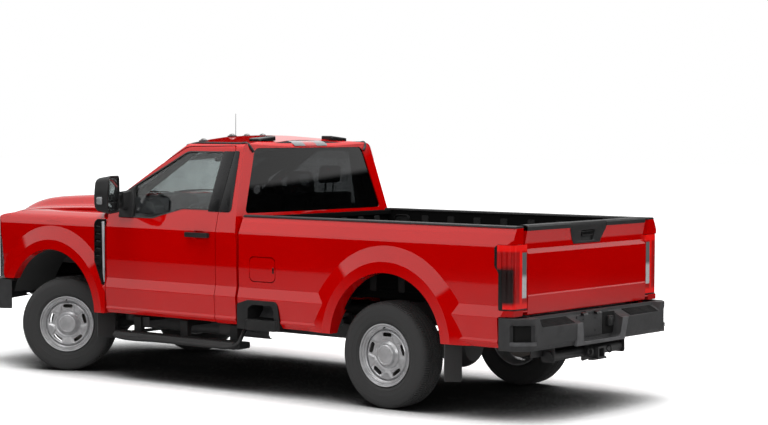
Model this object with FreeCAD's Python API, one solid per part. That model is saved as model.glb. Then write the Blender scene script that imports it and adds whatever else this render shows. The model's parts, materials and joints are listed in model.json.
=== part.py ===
"""Regular-cab, long-bed four-wheel-drive pickup truck, as an assembly of separate solids.

Frame: +X forward, +Y to the driver's left, +Z up, millimetres. The origin is on the ground under
the middle of the overall length. The truck stands on its four tyres at Z = 0.
"""
import FreeCAD, Part

import math
import os

V = FreeCAD.Vector

# Overhangs and the chain of lengths along the truck
FRONT_OVERHANG = 973.0
REAR_OVERHANG = 1318.0
BED_OVERHANG = 1165.0
BED_LENGTH = 2605.0
CAB_GAP = 26.0
REAR_POST_LENGTH = 226.0
DOOR_LENGTH = 1245.0
DOOR_TO_AXLE = 660.0
WHEELBASE = BED_LENGTH - BED_OVERHANG + CAB_GAP + REAR_POST_LENGTH + DOOR_LENGTH + DOOR_TO_AXLE
REAR_AXLE_X = REAR_OVERHANG - (WHEELBASE + FRONT_OVERHANG + REAR_OVERHANG) / 2
FRONT_AXLE_X = REAR_AXLE_X + WHEELBASE
NOSE_X = FRONT_AXLE_X + FRONT_OVERHANG
TAIL_X = REAR_AXLE_X - REAR_OVERHANG
BED_REAR_X = REAR_AXLE_X - BED_OVERHANG
BED_FRONT_X = BED_REAR_X + BED_LENGTH
CAB_BACK_X = BED_FRONT_X + CAB_GAP
SHUT_GAP = 6.0
DOOR_REAR_X = CAB_BACK_X + REAR_POST_LENGTH
DOOR_FRONT_X = DOOR_REAR_X + DOOR_LENGTH
FENDER_REAR_X = DOOR_FRONT_X + SHUT_GAP
FENDER_REACH = 752.0
FENDER_FRONT_X = FRONT_AXLE_X + FENDER_REACH
GRILLE_DEPTH = 70.0
GRILLE_FACE_X = FENDER_FRONT_X + 96.0
SEAT_CLEAR = 0.3

# Heights above the ground
SILL_Z = 530.0
BAND_Z = 748.0
LOWER_CREASE_Z = 830.0
SHOULDER_Z = 1262.0
RAIL_Z = 1378.0
BELT_Z = 1420.0
BELT_DIP_Z = 1335.0
COWL_Z = 1462.0
ROOF_EDGE_Z = 1944.0
ROOF_Z = 2020.0
BED_FLOOR_Z = 846.0
CAB_FLOOR_Z = 640.0
FENDER_TOP_Z = 1352.0

# Half-widths from the centre plane
SIDE_Y = 989.0
BAND_Y = 1004.0
FLARE_Y = 1016.0
BELT_Y = 951.0
RAIL_Y = 930.0
ROOF_EDGE_Y = 792.0
BED_WALL_Y = 850.0
WHEELHOUSE_Y = 641.0
HOOD_SIDE_Y = 800.0
TAILGATE_Y = 800.0

# Panels
DOOR_THICKNESS = 92.0
PILLAR_DEPTH = 58.0
ROOF_THICKNESS = 52.0
GLASS_THICKNESS = 5.0
GLASS_INSET = 12.0
SHEET = 4.0
LINER = 3.0

# Windscreen and back of the cab, both bowed about a tilted axis
SCREEN_TOP_X = DOOR_FRONT_X - 621.0
SCREEN_FOOT_X = DOOR_FRONT_X + 287.0
SCREEN_TOP_Z = 1990.0
SCREEN_BOW = 2900.0
COWL_DEPTH = 90.0
BACK_LEAN = 76.0
BACK_BOW = 14000.0

# Cab openings, floor and interior
DOOR_REACH_Y = 700.0
FLOOR_PAN = 14.0
TUNNEL_TOP_Z = 800.0
TUNNEL_WALL = 14.0
STOP_LAMP_Z = 1950.0
STOP_LAMP_RISE = 8.0
ROOF_FRONT_DROP = 20.0
HANDLE_Z = 1222.0
HANDLE_FROM_EDGE = 58.0
WHEEL_Y = 380.0
STEERING_RADIUS = 190.0
STEERING_AXIS = V(-0.88, 0, 0.475)
STEERING_AXIS.normalize()
STEERING_CENTRE = V(DOOR_FRONT_X - 540, WHEEL_Y, 1255)
COLUMN_END = STEERING_CENTRE - STEERING_AXIS * 44

# Mirrors and aerial
MIRROR_X = DOOR_FRONT_X - 176.0
MIRROR_INNER_Y = 1072.0
MIRROR_OUTER_Y = 1336.0
MIRROR_BOTTOM_Z = 1366.0
MIRROR_TOP_Z = 1688.0
ANTENNA_X = DOOR_FRONT_X + 255.0
ANTENNA_TOP_Z = 2200.0

# Hood, fenders, vents and head lamps
HOOD_REAR_X = SCREEN_FOOT_X + 16.0
HOOD_THICKNESS = 34.0
HOOD_PIVOT_X = HOOD_REAR_X - 2.0
HOOD_PIVOT_Z = 1488.0
HOOD_BARREL = 8.0
HOOD_HINGE_Y = 540.0
FENDER_WALL = 46.0
FENDER_HAUNCH_Z = 1180.0
FENDER_FOOT_Z = 764.0
NOSE_DROP_Z = 1250.0
VENT_BACK = 6.0
VENT_LENGTH = 128.0
VENT_TOP_Z = 1312.0
VENT_BOTTOM_Z = 762.0
HEAD_LAMP_INNER_Y = 628.0
HEAD_LAMP_TOP_Z = 1236.0
HEAD_LAMP_BOTTOM_Z = 770.0

# Bed, tailgate, tail lamps and fuel door
FRONT_WALL = 46.0
FLOOR_SETBACK = 92.0
BED_SILL_Z = 770.0
TAILGATE_PIVOT_X = BED_REAR_X + 5.0
TAILGATE_PIVOT_Z = 786.0
TAILGATE_FACE_X = BED_REAR_X - 4.0
TAILGATE_INNER_X = BED_REAR_X + 60.0
TAILGATE_BOTTOM_Z = 758.0
TRUNNION_RADIUS = 8.0
LAMP_TOP_Z = 1262.0
LAMP_BOTTOM_Z = 800.0
LAMP_WAIST_Z = 1096.0
LAMP_SIDE = 150.0
LAMP_GAP = 2.0
STEP_LENGTH = 420.0
STEP_TOP_Z = 735.0
FUEL_X0 = BED_FRONT_X - 378.0
FUEL_LENGTH = 262.0
FUEL_Z0 = 884.0
FUEL_HEIGHT = 186.0
FUEL_GAP = 6.0
FUEL_THICKNESS = 11.0

# Wheels and tyres
TYRE_RADIUS = 399.0
TYRE_HALF_WIDTH = 123.0
BEAD_RADIUS = 222.0
BEAD_HALF_WIDTH = 99.0
FLANGE_RADIUS = 235.0
FLANGE_WIDTH = 10.0
FRONT_TRACK = 1735.0
REAR_TRACK = 1707.0
AXLE_Z = TYRE_RADIUS
SLOTS = 5
SLOT_RADIUS = 152.0
SLOT_LENGTH = 78.0
SLOT_WIDTH = 30.0
CAP_RADIUS = 78.0
CAP_FACE = 106.0
ROTOR_RADIUS = 176.0
ROTOR_WIDTH = 32.0
ROTOR_BACK = 20.0 + ROTOR_WIDTH
HUB_RADIUS = 72.0
KINGPIN_OFFSET = 125.5
KINGPIN_Y = FRONT_TRACK / 2 - KINGPIN_OFFSET
STEER_ARM = 140.0
ARM_DROP = 112.0
YOKE_GAP = 0.5

# The front wheels stand turned to the left, and the steering wheel with them
STEER_AT_REST = 31.0
STEER_RATIO = 17.0

# Arches
FRONT_ARCH_RADIUS = 545.0
REAR_ARCH_RADIUS = 522.0
FRONT_ARCH_LIFT = 91.0
REAR_ARCH_LIFT = 94.0
FRONT_ARCH_SHIFT = 2.0
REAR_ARCH_SHIFT = -40.0
FLARE_LIP = 82.0
FLARE_SLOPE = 118.0

# Chassis
RAIL_OUTER_Y = 470.0
RAIL_WIDTH = 76.0
RAIL_DEPTH = 180.0
RAIL_WALL = 6.0
RAIL_BOTTOM_Z = 430.0
FRONT_KICK = 150.0
FRAME_FRONT_X = FRONT_AXLE_X + 620.0
FRAME_REAR_X = REAR_AXLE_X - 1160.0
BOARD_MOUNT_Y = RAIL_OUTER_Y + SEAT_CLEAR
BUMPER_LOW_Z = 478.0
BUMPER_TOP_Z = 748.0
REAR_BUMPER_LOW_Z = 516.0
REAR_BUMPER_TOP_Z = 748.0
BUMPER_WRAP = 118.0
GEARBOX_Z = 608.0
RECEIVER_INNER = 63.5
RECEIVER_WALL = 6.4
RECEIVER_Z = 432.0
HITCH_PIN_RADIUS = 8.25
SPRING_RADIUS = 68.0
COIL_Y = 550.0
COIL_SEAT_Z = AXLE_Z + 84
COIL_HEIGHT = 268.0
LEAF_Y = 540.0
LEAF_SEAT = 66.0
LEAF_WIDTH = 76.0
LEAF_REACH = 742.0


def corners(points):
    """Each corner of a closed outline as (start, middle, end) of its round, or as one point."""
    found = []
    for i, point in enumerate(points):
        here = V(point[0], point[1], 0)
        radius = point[2] if len(point) > 2 else 0
        if not radius:
            found.append((here,))
            continue
        back = points[i - 1]
        ahead = points[(i + 1) % len(points)]
        to_back = (V(back[0], back[1], 0) - here).normalize()
        to_ahead = (V(ahead[0], ahead[1], 0) - here).normalize()
        half = to_back.getAngle(to_ahead) / 2
        run = radius / math.tan(half)
        bisector = (to_back + to_ahead).normalize()
        middle = here + bisector * (radius / math.sin(half) - radius)
        found.append((here + to_back * run, middle, here + to_ahead * run))
    return found


def outline(points, place):
    """Closed wire through (u, v) or (u, v, radius) corners; place turns u and v into a point."""
    ends = corners(points)
    edges = []
    for i, corner in enumerate(ends):
        along = V(*points[(i + 1) % len(points)][:2], 0) - V(*points[i][:2], 0)
        if along.dot(ends[(i + 1) % len(ends)][0] - corner[-1]) < -0.001:
            raise ValueError(f"the rounds of {points[i]} and {points[(i + 1) % len(points)]} overlap")
        if len(corner) == 3:
            arc = [place(p.x, p.y) for p in corner]
            edges.append(Part.Arc(*arc).toShape())
        start = corner[-1]
        finish = ends[(i + 1) % len(ends)][0]
        if start.distanceToPoint(finish) > 0.001:
            edges.append(Part.LineSegment(place(start.x, start.y), place(finish.x, finish.y)).toShape())
    return Part.Wire(edges)


def along_x(points, x0, x1):
    """Prism of a Y-Z outline from x0 to x1."""
    return Part.Face(outline(points, lambda u, v: V(x0, u, v))).extrude(V(x1 - x0, 0, 0))


def along_y(points, y0, y1):
    """Prism of an X-Z outline from y0 to y1."""
    return Part.Face(outline(points, lambda u, v: V(u, y0, v))).extrude(V(0, y1 - y0, 0))


def along_z(points, z0, z1):
    """Prism of an X-Y outline from z0 to z1."""
    return Part.Face(outline(points, lambda u, v: V(u, v, z0))).extrude(V(0, 0, z1 - z0))


def block(x0, x1, y0, y1, z0, z1):
    """Box between opposite corners."""
    return Part.makeBox(x1 - x0, y1 - y0, z1 - z0, V(x0, y0, z0))


def rod(radius, start, end):
    """Cylinder from start to end."""
    return Part.makeCylinder(radius, start.distanceToPoint(end), start, end - start)


def bent_pipe(points, radius, bend):
    """Round bar along straight runs joined by tangent arcs of radius bend."""
    edges = []
    last = points[0]
    for before, here, after in zip(points, points[1:], points[2:]):
        to_back = (before - here).normalize()
        to_ahead = (after - here).normalize()
        half = to_back.getAngle(to_ahead) / 2
        run = bend / math.tan(half)
        middle = here + (to_back + to_ahead).normalize() * (bend / math.sin(half) - bend)
        start = here + to_back * run
        end = here + to_ahead * run
        edges += [Part.LineSegment(last, start).toShape(), Part.Arc(start, middle, end).toShape()]
        last = end
    edges.append(Part.LineSegment(last, points[-1]).toShape())
    section = Part.Wire(Part.Circle(points[0], points[1] - points[0], radius).toShape())
    return Part.Wire(edges).makePipeShell([section], True, False)


def mirrored(shape):
    """The same shape on the other side of the centre plane."""
    return shape.mirror(V(0, 0, 0), V(0, 1, 0))


def largest(shape):
    """The biggest solid of a shape."""
    return max(shape.Solids, key=lambda solid: solid.Volume)


def both(shape):
    """A left-hand shape and its mirror image, as separate solids."""
    return Part.makeCompound([shape, mirrored(shape)])


def fused(first, *others):
    """One solid of touching shapes."""
    return first.fuse(list(others)).removeSplitter()


def tyre_ring(points, centre_y, x, z):
    """Ring of a (y, radius) section about the axle line at x, z."""
    section = Part.Face(outline(points, lambda u, v: V(x, centre_y + u, z + v)))
    return section.revolve(V(x, centre_y, z), V(0, 1, 0), 360)


# The skin that fenders, doors, cab corners and bed sides share

def lower_skin():
    """Outer skin from the sill to the shoulder as (y, z, radius), from the bottom up."""
    return [
        (SIDE_Y - 20, SILL_Z, 6),
        (BAND_Y - 4, SILL_Z + 42, 14),
        (BAND_Y - 12, SILL_Z + 64, 8),
        (BAND_Y, BAND_Z, 16),
        (SIDE_Y - 5, LOWER_CREASE_Z, 12),
        (SIDE_Y, LOWER_CREASE_Z + 150, 400),
        (SIDE_Y, SHOULDER_Z - 12, 70),
    ]


def bed_side_section():
    """Closed Y-Z section of one bed side, as thick as the whole wall."""
    top = [(RAIL_Y + 22, RAIL_Z - 40, 60), (RAIL_Y, RAIL_Z, 4)]
    inside = [(BED_WALL_Y, RAIL_Z), (BED_WALL_Y, BED_FLOOR_Z - 60), (SIDE_Y - 60, SILL_Z)]
    return lower_skin() + top + inside


def cab_section(inset, floor_z, roof_drop):
    """Closed Y-Z section across the cab, drawn in from the skin by inset."""
    right = [(SIDE_Y - 20 - inset, floor_z, 6)]
    if inset:
        right += [(SIDE_Y - inset, floor_z + 60, 20)]
    else:
        right = lower_skin()[:-1]
    edge = [
        (SIDE_Y - inset, SHOULDER_Z - 12, 70),
        (BELT_Y + 8 - inset * 0.62, BELT_Z - 40, 90),
        (ROOF_EDGE_Y - inset * 0.62, ROOF_EDGE_Z - roof_drop, 60),
    ]
    side = right + edge
    left = [(-y, z, *r) for y, z, *r in reversed(side)]
    return side + [(0, ROOF_Z - roof_drop, 1900)] + left


def screen_frame():
    """Middle of the windscreen's foot, its direction up the slope and its outward normal."""
    foot = V(SCREEN_FOOT_X, 0, COWL_Z)
    slope = (V(SCREEN_TOP_X, 0, SCREEN_TOP_Z) - foot)
    length = slope.Length
    slope.normalize()
    return foot, slope, V(slope.z, 0, -slope.x), length


def bowed(radius, point, slope, normal, reach):
    """Cylinder whose side passes through point, along slope, and bulges towards normal."""
    base = point - normal * radius - slope * reach
    return Part.makeCylinder(radius, 2 * reach, base, slope)


def screen_sag(y):
    """How far the windscreen has bowed back at y."""
    return SCREEN_BOW - math.sqrt(SCREEN_BOW ** 2 - y ** 2)


def screen_side(depth):
    """What lies behind the windscreen's outer face, less depth."""
    foot, slope, normal, _ = screen_frame()
    return bowed(SCREEN_BOW - depth, foot - normal * depth, slope, normal, 3000)


def back_side(depth):
    """What lies in front of the bowed back of the cab, less depth."""
    foot = V(CAB_BACK_X + depth, 0, BELT_Z - 30)
    slope = V(BACK_LEAN, 0, ROOF_EDGE_Z - BELT_Z)
    slope.normalize()
    return bowed(BACK_BOW - depth, foot, slope, V(-slope.z, 0, slope.x), 3000)


def cab_profile(inset, floor_z, roof_drop):
    """Closed X-Z side view of the cab, drawn in by inset."""
    back = CAB_BACK_X + inset
    toe_x = DOOR_FRONT_X + 40 - inset
    under = COWL_Z - COWL_DEPTH + inset * 0.6
    return [
        (back, floor_z, 20),
        (back, BELT_Z - 30, 200),
        (back + BACK_LEAN, ROOF_EDGE_Z + 10 - roof_drop, 90),
        (SCREEN_TOP_X - 340, ROOF_Z + 4 - roof_drop, 900),
        (SCREEN_TOP_X, SCREEN_TOP_Z + 6 - roof_drop, 160),
        (SCREEN_FOOT_X + 10 - inset, COWL_Z - roof_drop * 0.2),
        (SCREEN_FOOT_X + 10 - inset, under + 10),
        (toe_x, under),
        (toe_x, floor_z, 30),
    ]


def cab_body(inset, floor_z, roof_drop):
    """Outer form of the cab, or its inside when inset is given."""
    across = along_x(cab_section(inset, floor_z, roof_drop), CAB_BACK_X - 100, SCREEN_FOOT_X + 200)
    side = along_y(cab_profile(inset, floor_z, roof_drop), -1100, 1100)
    form = across.common(side)
    return form.common(screen_side(inset * 0.7)).common(back_side(inset * 0.8))


def door_outline(gap):
    """X-Z outline of a door, drawn in by gap for the door and out for its opening."""
    rear = DOOR_REAR_X + gap
    front = DOOR_FRONT_X - gap
    return [
        (rear, SILL_Z - 60),
        (front, SILL_Z - 60),
        (front, BELT_Z + 88, 60),
        (SCREEN_TOP_X - 144 - gap, ROOF_EDGE_Z - 22 - gap, 190),
        (rear - 52, ROOF_EDGE_Z - 12 - gap, 26),
        (rear, BELT_Z - 20, 300),
    ]


def window_outline():
    """X-Z outline of the door glass, with its dipped belt line."""
    rear = DOOR_REAR_X + 112
    return [
        (rear, BELT_Z, 16),
        (rear + 290, BELT_Z, 160),
        (rear + 615, BELT_DIP_Z, 160),
        (DOOR_FRONT_X - 150, BELT_DIP_Z, 24),
        (DOOR_FRONT_X - 132, BELT_Z + 116, 40),
        (SCREEN_TOP_X - 154, ROOF_EDGE_Z - 58, 150),
        (rear - 44, ROOF_EDGE_Z - 58, 20),
    ]


def screen_opening(margin):
    """Prism through the windscreen opening, smaller by margin all round."""
    foot, slope, normal, length = screen_frame()
    low = 46.0 + margin
    high = length - 60 - margin
    wide = 842.0 - margin
    narrow = 688.0 - margin
    shape = [(-wide, low, 50), (wide, low, 50), (narrow, high, 70), (-narrow, high, 70)]
    start = foot + normal * 400
    face = Part.Face(outline(shape, lambda u, v: start + V(0, u, 0) + slope * v))
    return face.extrude(normal * -480)


def back_opening(margin):
    """Prism through the rear window opening, smaller by margin all round."""
    low = BELT_Z - 20 + margin
    high = ROOF_EDGE_Z - 30 - margin
    wide = BELT_Y - 96 - margin
    narrow = ROOF_EDGE_Y - 120 - margin
    shape = [(-wide, low, 26), (wide, low, 26), (narrow, high, 60), (-narrow, high, 60)]
    return along_x(shape, CAB_BACK_X - 150, CAB_BACK_X + 330)


def cab():
    """Cab shell: floor, dash panel, pillars, roof and back wall, with every opening cut."""
    shell = cab_body(0, SILL_Z, 0)
    shell = shell.cut(cab_body(PILLAR_DEPTH, CAB_FLOOR_Z, ROOF_THICKNESS))
    doorway = along_y(door_outline(-SHUT_GAP / 2), DOOR_REACH_Y, 1200)
    sill_bar = block(DOOR_REAR_X - 200, DOOR_FRONT_X + 60, 0, SIDE_Y - DOOR_THICKNESS - SHUT_GAP, 0,
                     CAB_FLOOR_Z)
    doorway = doorway.cut(sill_bar)
    pan = CAB_FLOOR_Z - FLOOR_PAN
    tunnel = along_x([(-260, pan), (260, pan), (215, TUNNEL_TOP_Z, 50), (-215, TUNNEL_TOP_Z, 50)],
                     CAB_BACK_X + 330, DOOR_FRONT_X + 40)
    hollow_top = TUNNEL_TOP_Z - TUNNEL_WALL
    tunnel_hollow = along_x([(-260 + TUNNEL_WALL, pan - 200), (260 - TUNNEL_WALL, pan - 200),
                             (215 - TUNNEL_WALL, hollow_top, 40), (-215 + TUNNEL_WALL, hollow_top, 40)],
                            CAB_BACK_X + 330 + TUNNEL_WALL, DOOR_FRONT_X + 90)
    under = block(CAB_BACK_X - 10, DOOR_FRONT_X + 200, -720, 720, 0, pan)
    nose = DOOR_FRONT_X + SHUT_GAP / 2
    beside = block(nose, DOOR_FRONT_X + 400, HOOD_SIDE_Y - SHUT_GAP / 2, 1200, 0, FENDER_TOP_Z + 18)
    hinge_post = block(nose, DOOR_FRONT_X + 400, 0, SIDE_Y - FENDER_WALL - SEAT_CLEAR, 0,
                       FENDER_HAUNCH_Z - 40)
    beside = beside.cut(hinge_post)
    shell = shell.cut([doorway, mirrored(doorway), screen_opening(0), back_opening(0), under, beside,
                       mirrored(beside)])
    lug = block(SCREEN_FOOT_X - screen_sag(HOOD_HINGE_Y + 20) - 6,
                HOOD_PIVOT_X - HOOD_BARREL - SEAT_CLEAR, HOOD_HINGE_Y - 20, HOOD_HINGE_Y + 20,
                COWL_Z - 40, HOOD_PIVOT_Z + 4)
    return shell.fuse([tunnel, lug, mirrored(lug)]).cut(tunnel_hollow).removeSplitter()


def cab_glass():
    """Windscreen and rear window."""
    front = screen_side(GLASS_INSET - 6).cut(screen_side(GLASS_INSET - 6 + GLASS_THICKNESS))
    screen = front.common(screen_opening(SEAT_CLEAR))
    rear = back_side(8).cut(back_side(8 + GLASS_THICKNESS)).common(back_opening(SEAT_CLEAR))
    return Part.makeCompound([screen.Solids[0], rear.Solids[0]])


def door():
    """Left door with its window opening cut, as thick as the whole door."""
    skin = cab_body(0, SILL_Z + 8, 0)
    panel = skin.common(along_y(door_outline(SHUT_GAP / 2), SIDE_Y - 400, 1200))
    inner = cab_section(DOOR_THICKNESS, SILL_Z - 100, ROOF_THICKNESS)
    panel = panel.cut(along_x(inner, CAB_BACK_X - 50, SCREEN_FOOT_X + 50))
    window = along_y(window_outline(), 400, 1200)
    inside = block(CAB_BACK_X, DOOR_FRONT_X, 0, DOOR_REACH_Y + SHUT_GAP, SILL_Z, ROOF_Z)
    panel = panel.cut([window, handle_pocket(), inside])
    x = DOOR_FRONT_X + SHUT_GAP / 2
    radius = SHUT_GAP / 2 - SEAT_CLEAR
    barrel = rod(radius, V(x, BAND_Y, BAND_Z - 18), V(x, BAND_Y, BAND_Z + 12))
    tab = block(DOOR_FRONT_X - 12, x, BAND_Y - 8, BAND_Y, BAND_Z - 18, BAND_Z + 12)
    return fused(panel, barrel, tab)


def handle_pocket():
    """Finger recess behind the door pull."""
    x = DOOR_REAR_X + HANDLE_FROM_EDGE
    return along_y([(x + 60, HANDLE_Z - 34, 30), (x + 190, HANDLE_Z - 34, 30),
                    (x + 190, HANDLE_Z + 34, 30), (x + 60, HANDLE_Z + 34, 30)], SIDE_Y - 26, SIDE_Y + 40)


def door_glass():
    """Left door glass on the slope of the greenhouse."""
    outer = cab_section(GLASS_INSET, SILL_Z - 100, 0)
    inner = cab_section(GLASS_INSET + GLASS_THICKNESS * 1.6, SILL_Z - 200, 0)
    pane = along_x(outer, CAB_BACK_X, SCREEN_FOOT_X).cut(along_x(inner, CAB_BACK_X - 10, SCREEN_FOOT_X + 10))
    shape = outline(window_outline(), lambda u, v: V(u, 400, v)).makeOffset2D(-SEAT_CLEAR)
    return pane.common(Part.Face(shape).extrude(V(0, 800, 0))).Solids[0]


def door_handle():
    """Left pull handle: a bar on two feet across its recess."""
    x = DOOR_REAR_X + HANDLE_FROM_EDGE
    bar = along_z([(x, SIDE_Y + 6, 8), (x + 258, SIDE_Y + 6, 8), (x + 250, SIDE_Y + 40, 14),
                   (x + 8, SIDE_Y + 40, 14)], HANDLE_Z - 19, HANDLE_Z + 19)
    gap = block(x + 54, x + 206, SIDE_Y - 5, SIDE_Y + 22, HANDLE_Z - 30, HANDLE_Z + 30)
    feet = [block(x + 8, x + 50, SIDE_Y + SEAT_CLEAR, SIDE_Y + 14, HANDLE_Z - 15, HANDLE_Z + 15),
            block(x + 208, x + 250, SIDE_Y + SEAT_CLEAR, SIDE_Y + 14, HANDLE_Z - 15, HANDLE_Z + 15)]
    return fused(bar.cut(gap), *feet)


def mirror():
    """Left towing mirror: tall head on two arms from the sail in the window's front corner."""
    head = along_y([(MIRROR_X - 62, MIRROR_BOTTOM_Z + 10, 20), (MIRROR_X + 60, MIRROR_BOTTOM_Z, 50),
                    (MIRROR_X + 92, MIRROR_BOTTOM_Z + 150, 120), (MIRROR_X + 62, MIRROR_TOP_Z - 30, 60),
                    (MIRROR_X - 40, MIRROR_TOP_Z, 30), (MIRROR_X - 62, MIRROR_TOP_Z - 20, 10)],
                   MIRROR_INNER_Y, MIRROR_OUTER_Y)
    front_view = along_x([(MIRROR_INNER_Y, MIRROR_BOTTOM_Z + 16, 26),
                          (MIRROR_OUTER_Y - 16, MIRROR_BOTTOM_Z, 60),
                          (MIRROR_OUTER_Y, MIRROR_BOTTOM_Z + 150, 200),
                          (MIRROR_OUTER_Y - 46, MIRROR_TOP_Z, 90),
                          (MIRROR_INNER_Y, MIRROR_TOP_Z - 8, 34)], MIRROR_X - 200, MIRROR_X + 200)
    bezel = 12.0
    recess = block(MIRROR_X - 90, MIRROR_X - 48, MIRROR_INNER_Y + bezel, MIRROR_OUTER_Y - 26,
                   MIRROR_BOTTOM_Z + 24, MIRROR_TOP_Z - 28)
    head = head.common(front_view).cut(recess)
    arm_inner = BELT_Y + 2
    lower_arm = block(MIRROR_X - 20, MIRROR_X + 34, arm_inner, MIRROR_INNER_Y + 20, MIRROR_BOTTOM_Z + 34,
                      MIRROR_BOTTOM_Z + 84)
    upper_arm = block(MIRROR_X - 16, MIRROR_X + 30, arm_inner - 18, MIRROR_INNER_Y + 20,
                      MIRROR_BOTTOM_Z + 118, MIRROR_BOTTOM_Z + 158)
    sail = along_y([(DOOR_FRONT_X - 300, BELT_DIP_Z + 2, 14), (DOOR_FRONT_X - 154, BELT_DIP_Z + 2, 14),
                    (DOOR_FRONT_X - 146, BELT_Z + 85, 30), (DOOR_FRONT_X - 262, BELT_Z + 168, 10)],
                   700, 1100)
    outer = cab_section(0, SILL_Z - 100, 0)
    inner = cab_section(GLASS_INSET - 1, SILL_Z - 200, 0)
    band = along_x(outer, CAB_BACK_X, SCREEN_FOOT_X).cut(along_x(inner, CAB_BACK_X - 10, SCREEN_FOOT_X + 10))
    foot = block(MIRROR_X - 34, MIRROR_X + 24, BELT_Y - 26, arm_inner + 30, MIRROR_BOTTOM_Z + 24,
                 MIRROR_BOTTOM_Z + 164)
    behind = along_x(inner, CAB_BACK_X - 10, SCREEN_FOOT_X + 10)
    foot = foot.cut(behind)
    return fused(head, lower_arm.cut(behind), upper_arm.cut(behind), sail.common(band).Solids[0], foot)


def arch_centre(axle_x, shift, lift):
    """Centre of a wheel arch, a little off the axle line."""
    return V(axle_x + shift, 0, AXLE_Z + lift)


def arch_cut(centre, radius, y0, y1):
    """Round arch opening, open downwards."""
    drum = Part.makeCylinder(radius, y1 - y0, V(centre.x, y0, centre.z), V(0, 1, 0))
    legs = block(centre.x - radius, centre.x + radius, y0, y1, 0, centre.z)
    return drum.fuse(legs)


def flare(centre, radius):
    """Raised lip round an arch, sloping back to the skin."""
    lip = radius + FLARE_LIP
    rise = FLARE_Y - SIDE_Y
    root = V(centre.x, SIDE_Y - 10, centre.z)
    slope_back = FLARE_SLOPE * (1 + 10 / rise)
    cone = Part.makeCone(lip + slope_back, lip, rise + 10, root, V(0, 1, 0))
    return cone


FRONT_ARCH = arch_centre(FRONT_AXLE_X, FRONT_ARCH_SHIFT, FRONT_ARCH_LIFT)
REAR_ARCH = arch_centre(REAR_AXLE_X, REAR_ARCH_SHIFT, REAR_ARCH_LIFT)


def wheelhouse(wall):
    """Box over a rear wheel inside the bed, smaller by wall."""
    half = REAR_ARCH_RADIUS + 46 - wall
    top = REAR_ARCH.z + REAR_ARCH_RADIUS + 30 - wall
    x = REAR_ARCH.x
    return along_y([(x - half, BED_FLOOR_Z - 60 - wall), (x + half, BED_FLOOR_Z - 60 - wall),
                    (x + half - 60, top, 130), (x - half + 60, top, 130)],
                   WHEELHOUSE_Y + wall, BED_WALL_Y + 40)


def lamp_plan(gap):
    """X-Y outline of the left tail lamp, grown by gap."""
    inner = TAILGATE_Y + SHUT_GAP
    return [(BED_REAR_X - 40, inner - gap), (BED_REAR_X + 60, inner - gap), (BED_REAR_X + 60, 900),
            (BED_REAR_X + LAMP_SIDE + gap, 934), (BED_REAR_X + LAMP_SIDE + gap, 1100),
            (BED_REAR_X - 40, 1100)]


def lamp_side_view(gap):
    """X-Z outline of the left tail lamp: wide at the top, waisted below."""
    front = BED_REAR_X + LAMP_SIDE + gap
    return [(BED_REAR_X - 60, LAMP_BOTTOM_Z - gap), (front - 34, LAMP_BOTTOM_Z - gap, 12),
            (front - 34, LAMP_WAIST_Z - 30, 30), (front, LAMP_WAIST_Z + 14, 30),
            (front, LAMP_TOP_Z + gap - 20, 20), (front - 24, LAMP_TOP_Z + gap, 16),
            (BED_REAR_X - 60, LAMP_TOP_Z + gap)]


def lamp_form(gap):
    """Space that the left tail lamp fills, grown by gap."""
    return along_z(lamp_plan(gap), 700, 1400).common(along_y(lamp_side_view(gap), 700, 1150))


def bed_side(side):
    """Left bed side: outer skin, wall, flared arch, wheelhouse, lamp corner and step cut-out."""
    x1 = BED_FRONT_X
    prism = along_x(bed_side_section(), BED_REAR_X, x1)
    below = block(BED_REAR_X, x1, 0, 1100, SILL_Z, RAIL_Z)
    lip = flare(REAR_ARCH, REAR_ARCH_RADIUS).common(below)
    panel = prism.fuse([lip, wheelhouse(0)])
    corner = along_z([(BED_REAR_X - 50, SIDE_Y - 20), (BED_REAR_X + 6, SIDE_Y - 20, 30),
                      (BED_REAR_X + 130, SIDE_Y + 22, 120), (BED_REAR_X + 160, 1200),
                      (BED_REAR_X - 50, 1200)], 0, 1500)
    arch = arch_cut(REAR_ARCH, REAR_ARCH_RADIUS, BED_WALL_Y - 60, 1100)
    step = along_y([(x1 + 5, SILL_Z - 20), (x1 + 5, STEP_TOP_Z - 34), (x1 - 110, STEP_TOP_Z, 40),
                    (x1 - STEP_LENGTH, STEP_TOP_Z, 50), (x1 - STEP_LENGTH - 34, SILL_Z - 20)], 780, 1100)
    wrap = along_y([(BED_REAR_X - 10, SILL_Z - 10), (BED_REAR_X + BUMPER_WRAP, SILL_Z - 10),
                    (BED_REAR_X + BUMPER_WRAP, REAR_BUMPER_TOP_Z + 8, 20),
                    (BED_REAR_X - 10, REAR_BUMPER_TOP_Z + 8)], 800, 1100)
    cuts = [wheelhouse(SHEET), arch, step, lamp_form(LAMP_GAP), corner, wrap]
    if side > 0:
        cuts.append(fuel_opening(FUEL_GAP, 62.0))
    return panel.cut(cuts).removeSplitter()


def bed_sides():
    """Left bed side with the filler pocket and right bed side without it."""
    return Part.makeCompound([bed_side(1), mirrored(bed_side(-1))])


def fuel_shape(grow):
    """X-Z outline of the fuel door, grown by grow."""
    x0 = FUEL_X0 - grow
    x1 = FUEL_X0 + FUEL_LENGTH + grow
    z0 = FUEL_Z0 - grow
    z1 = FUEL_Z0 + FUEL_HEIGHT + grow
    return [(x0, z0, 44), (x1, z0, 44), (x1, z1, 44), (x0, z1, 44)]


def fuel_opening(grow, depth):
    """Pocket for the fuel door and filler neck."""
    return along_y(fuel_shape(grow), SIDE_Y - depth, SIDE_Y + 40)


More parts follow.
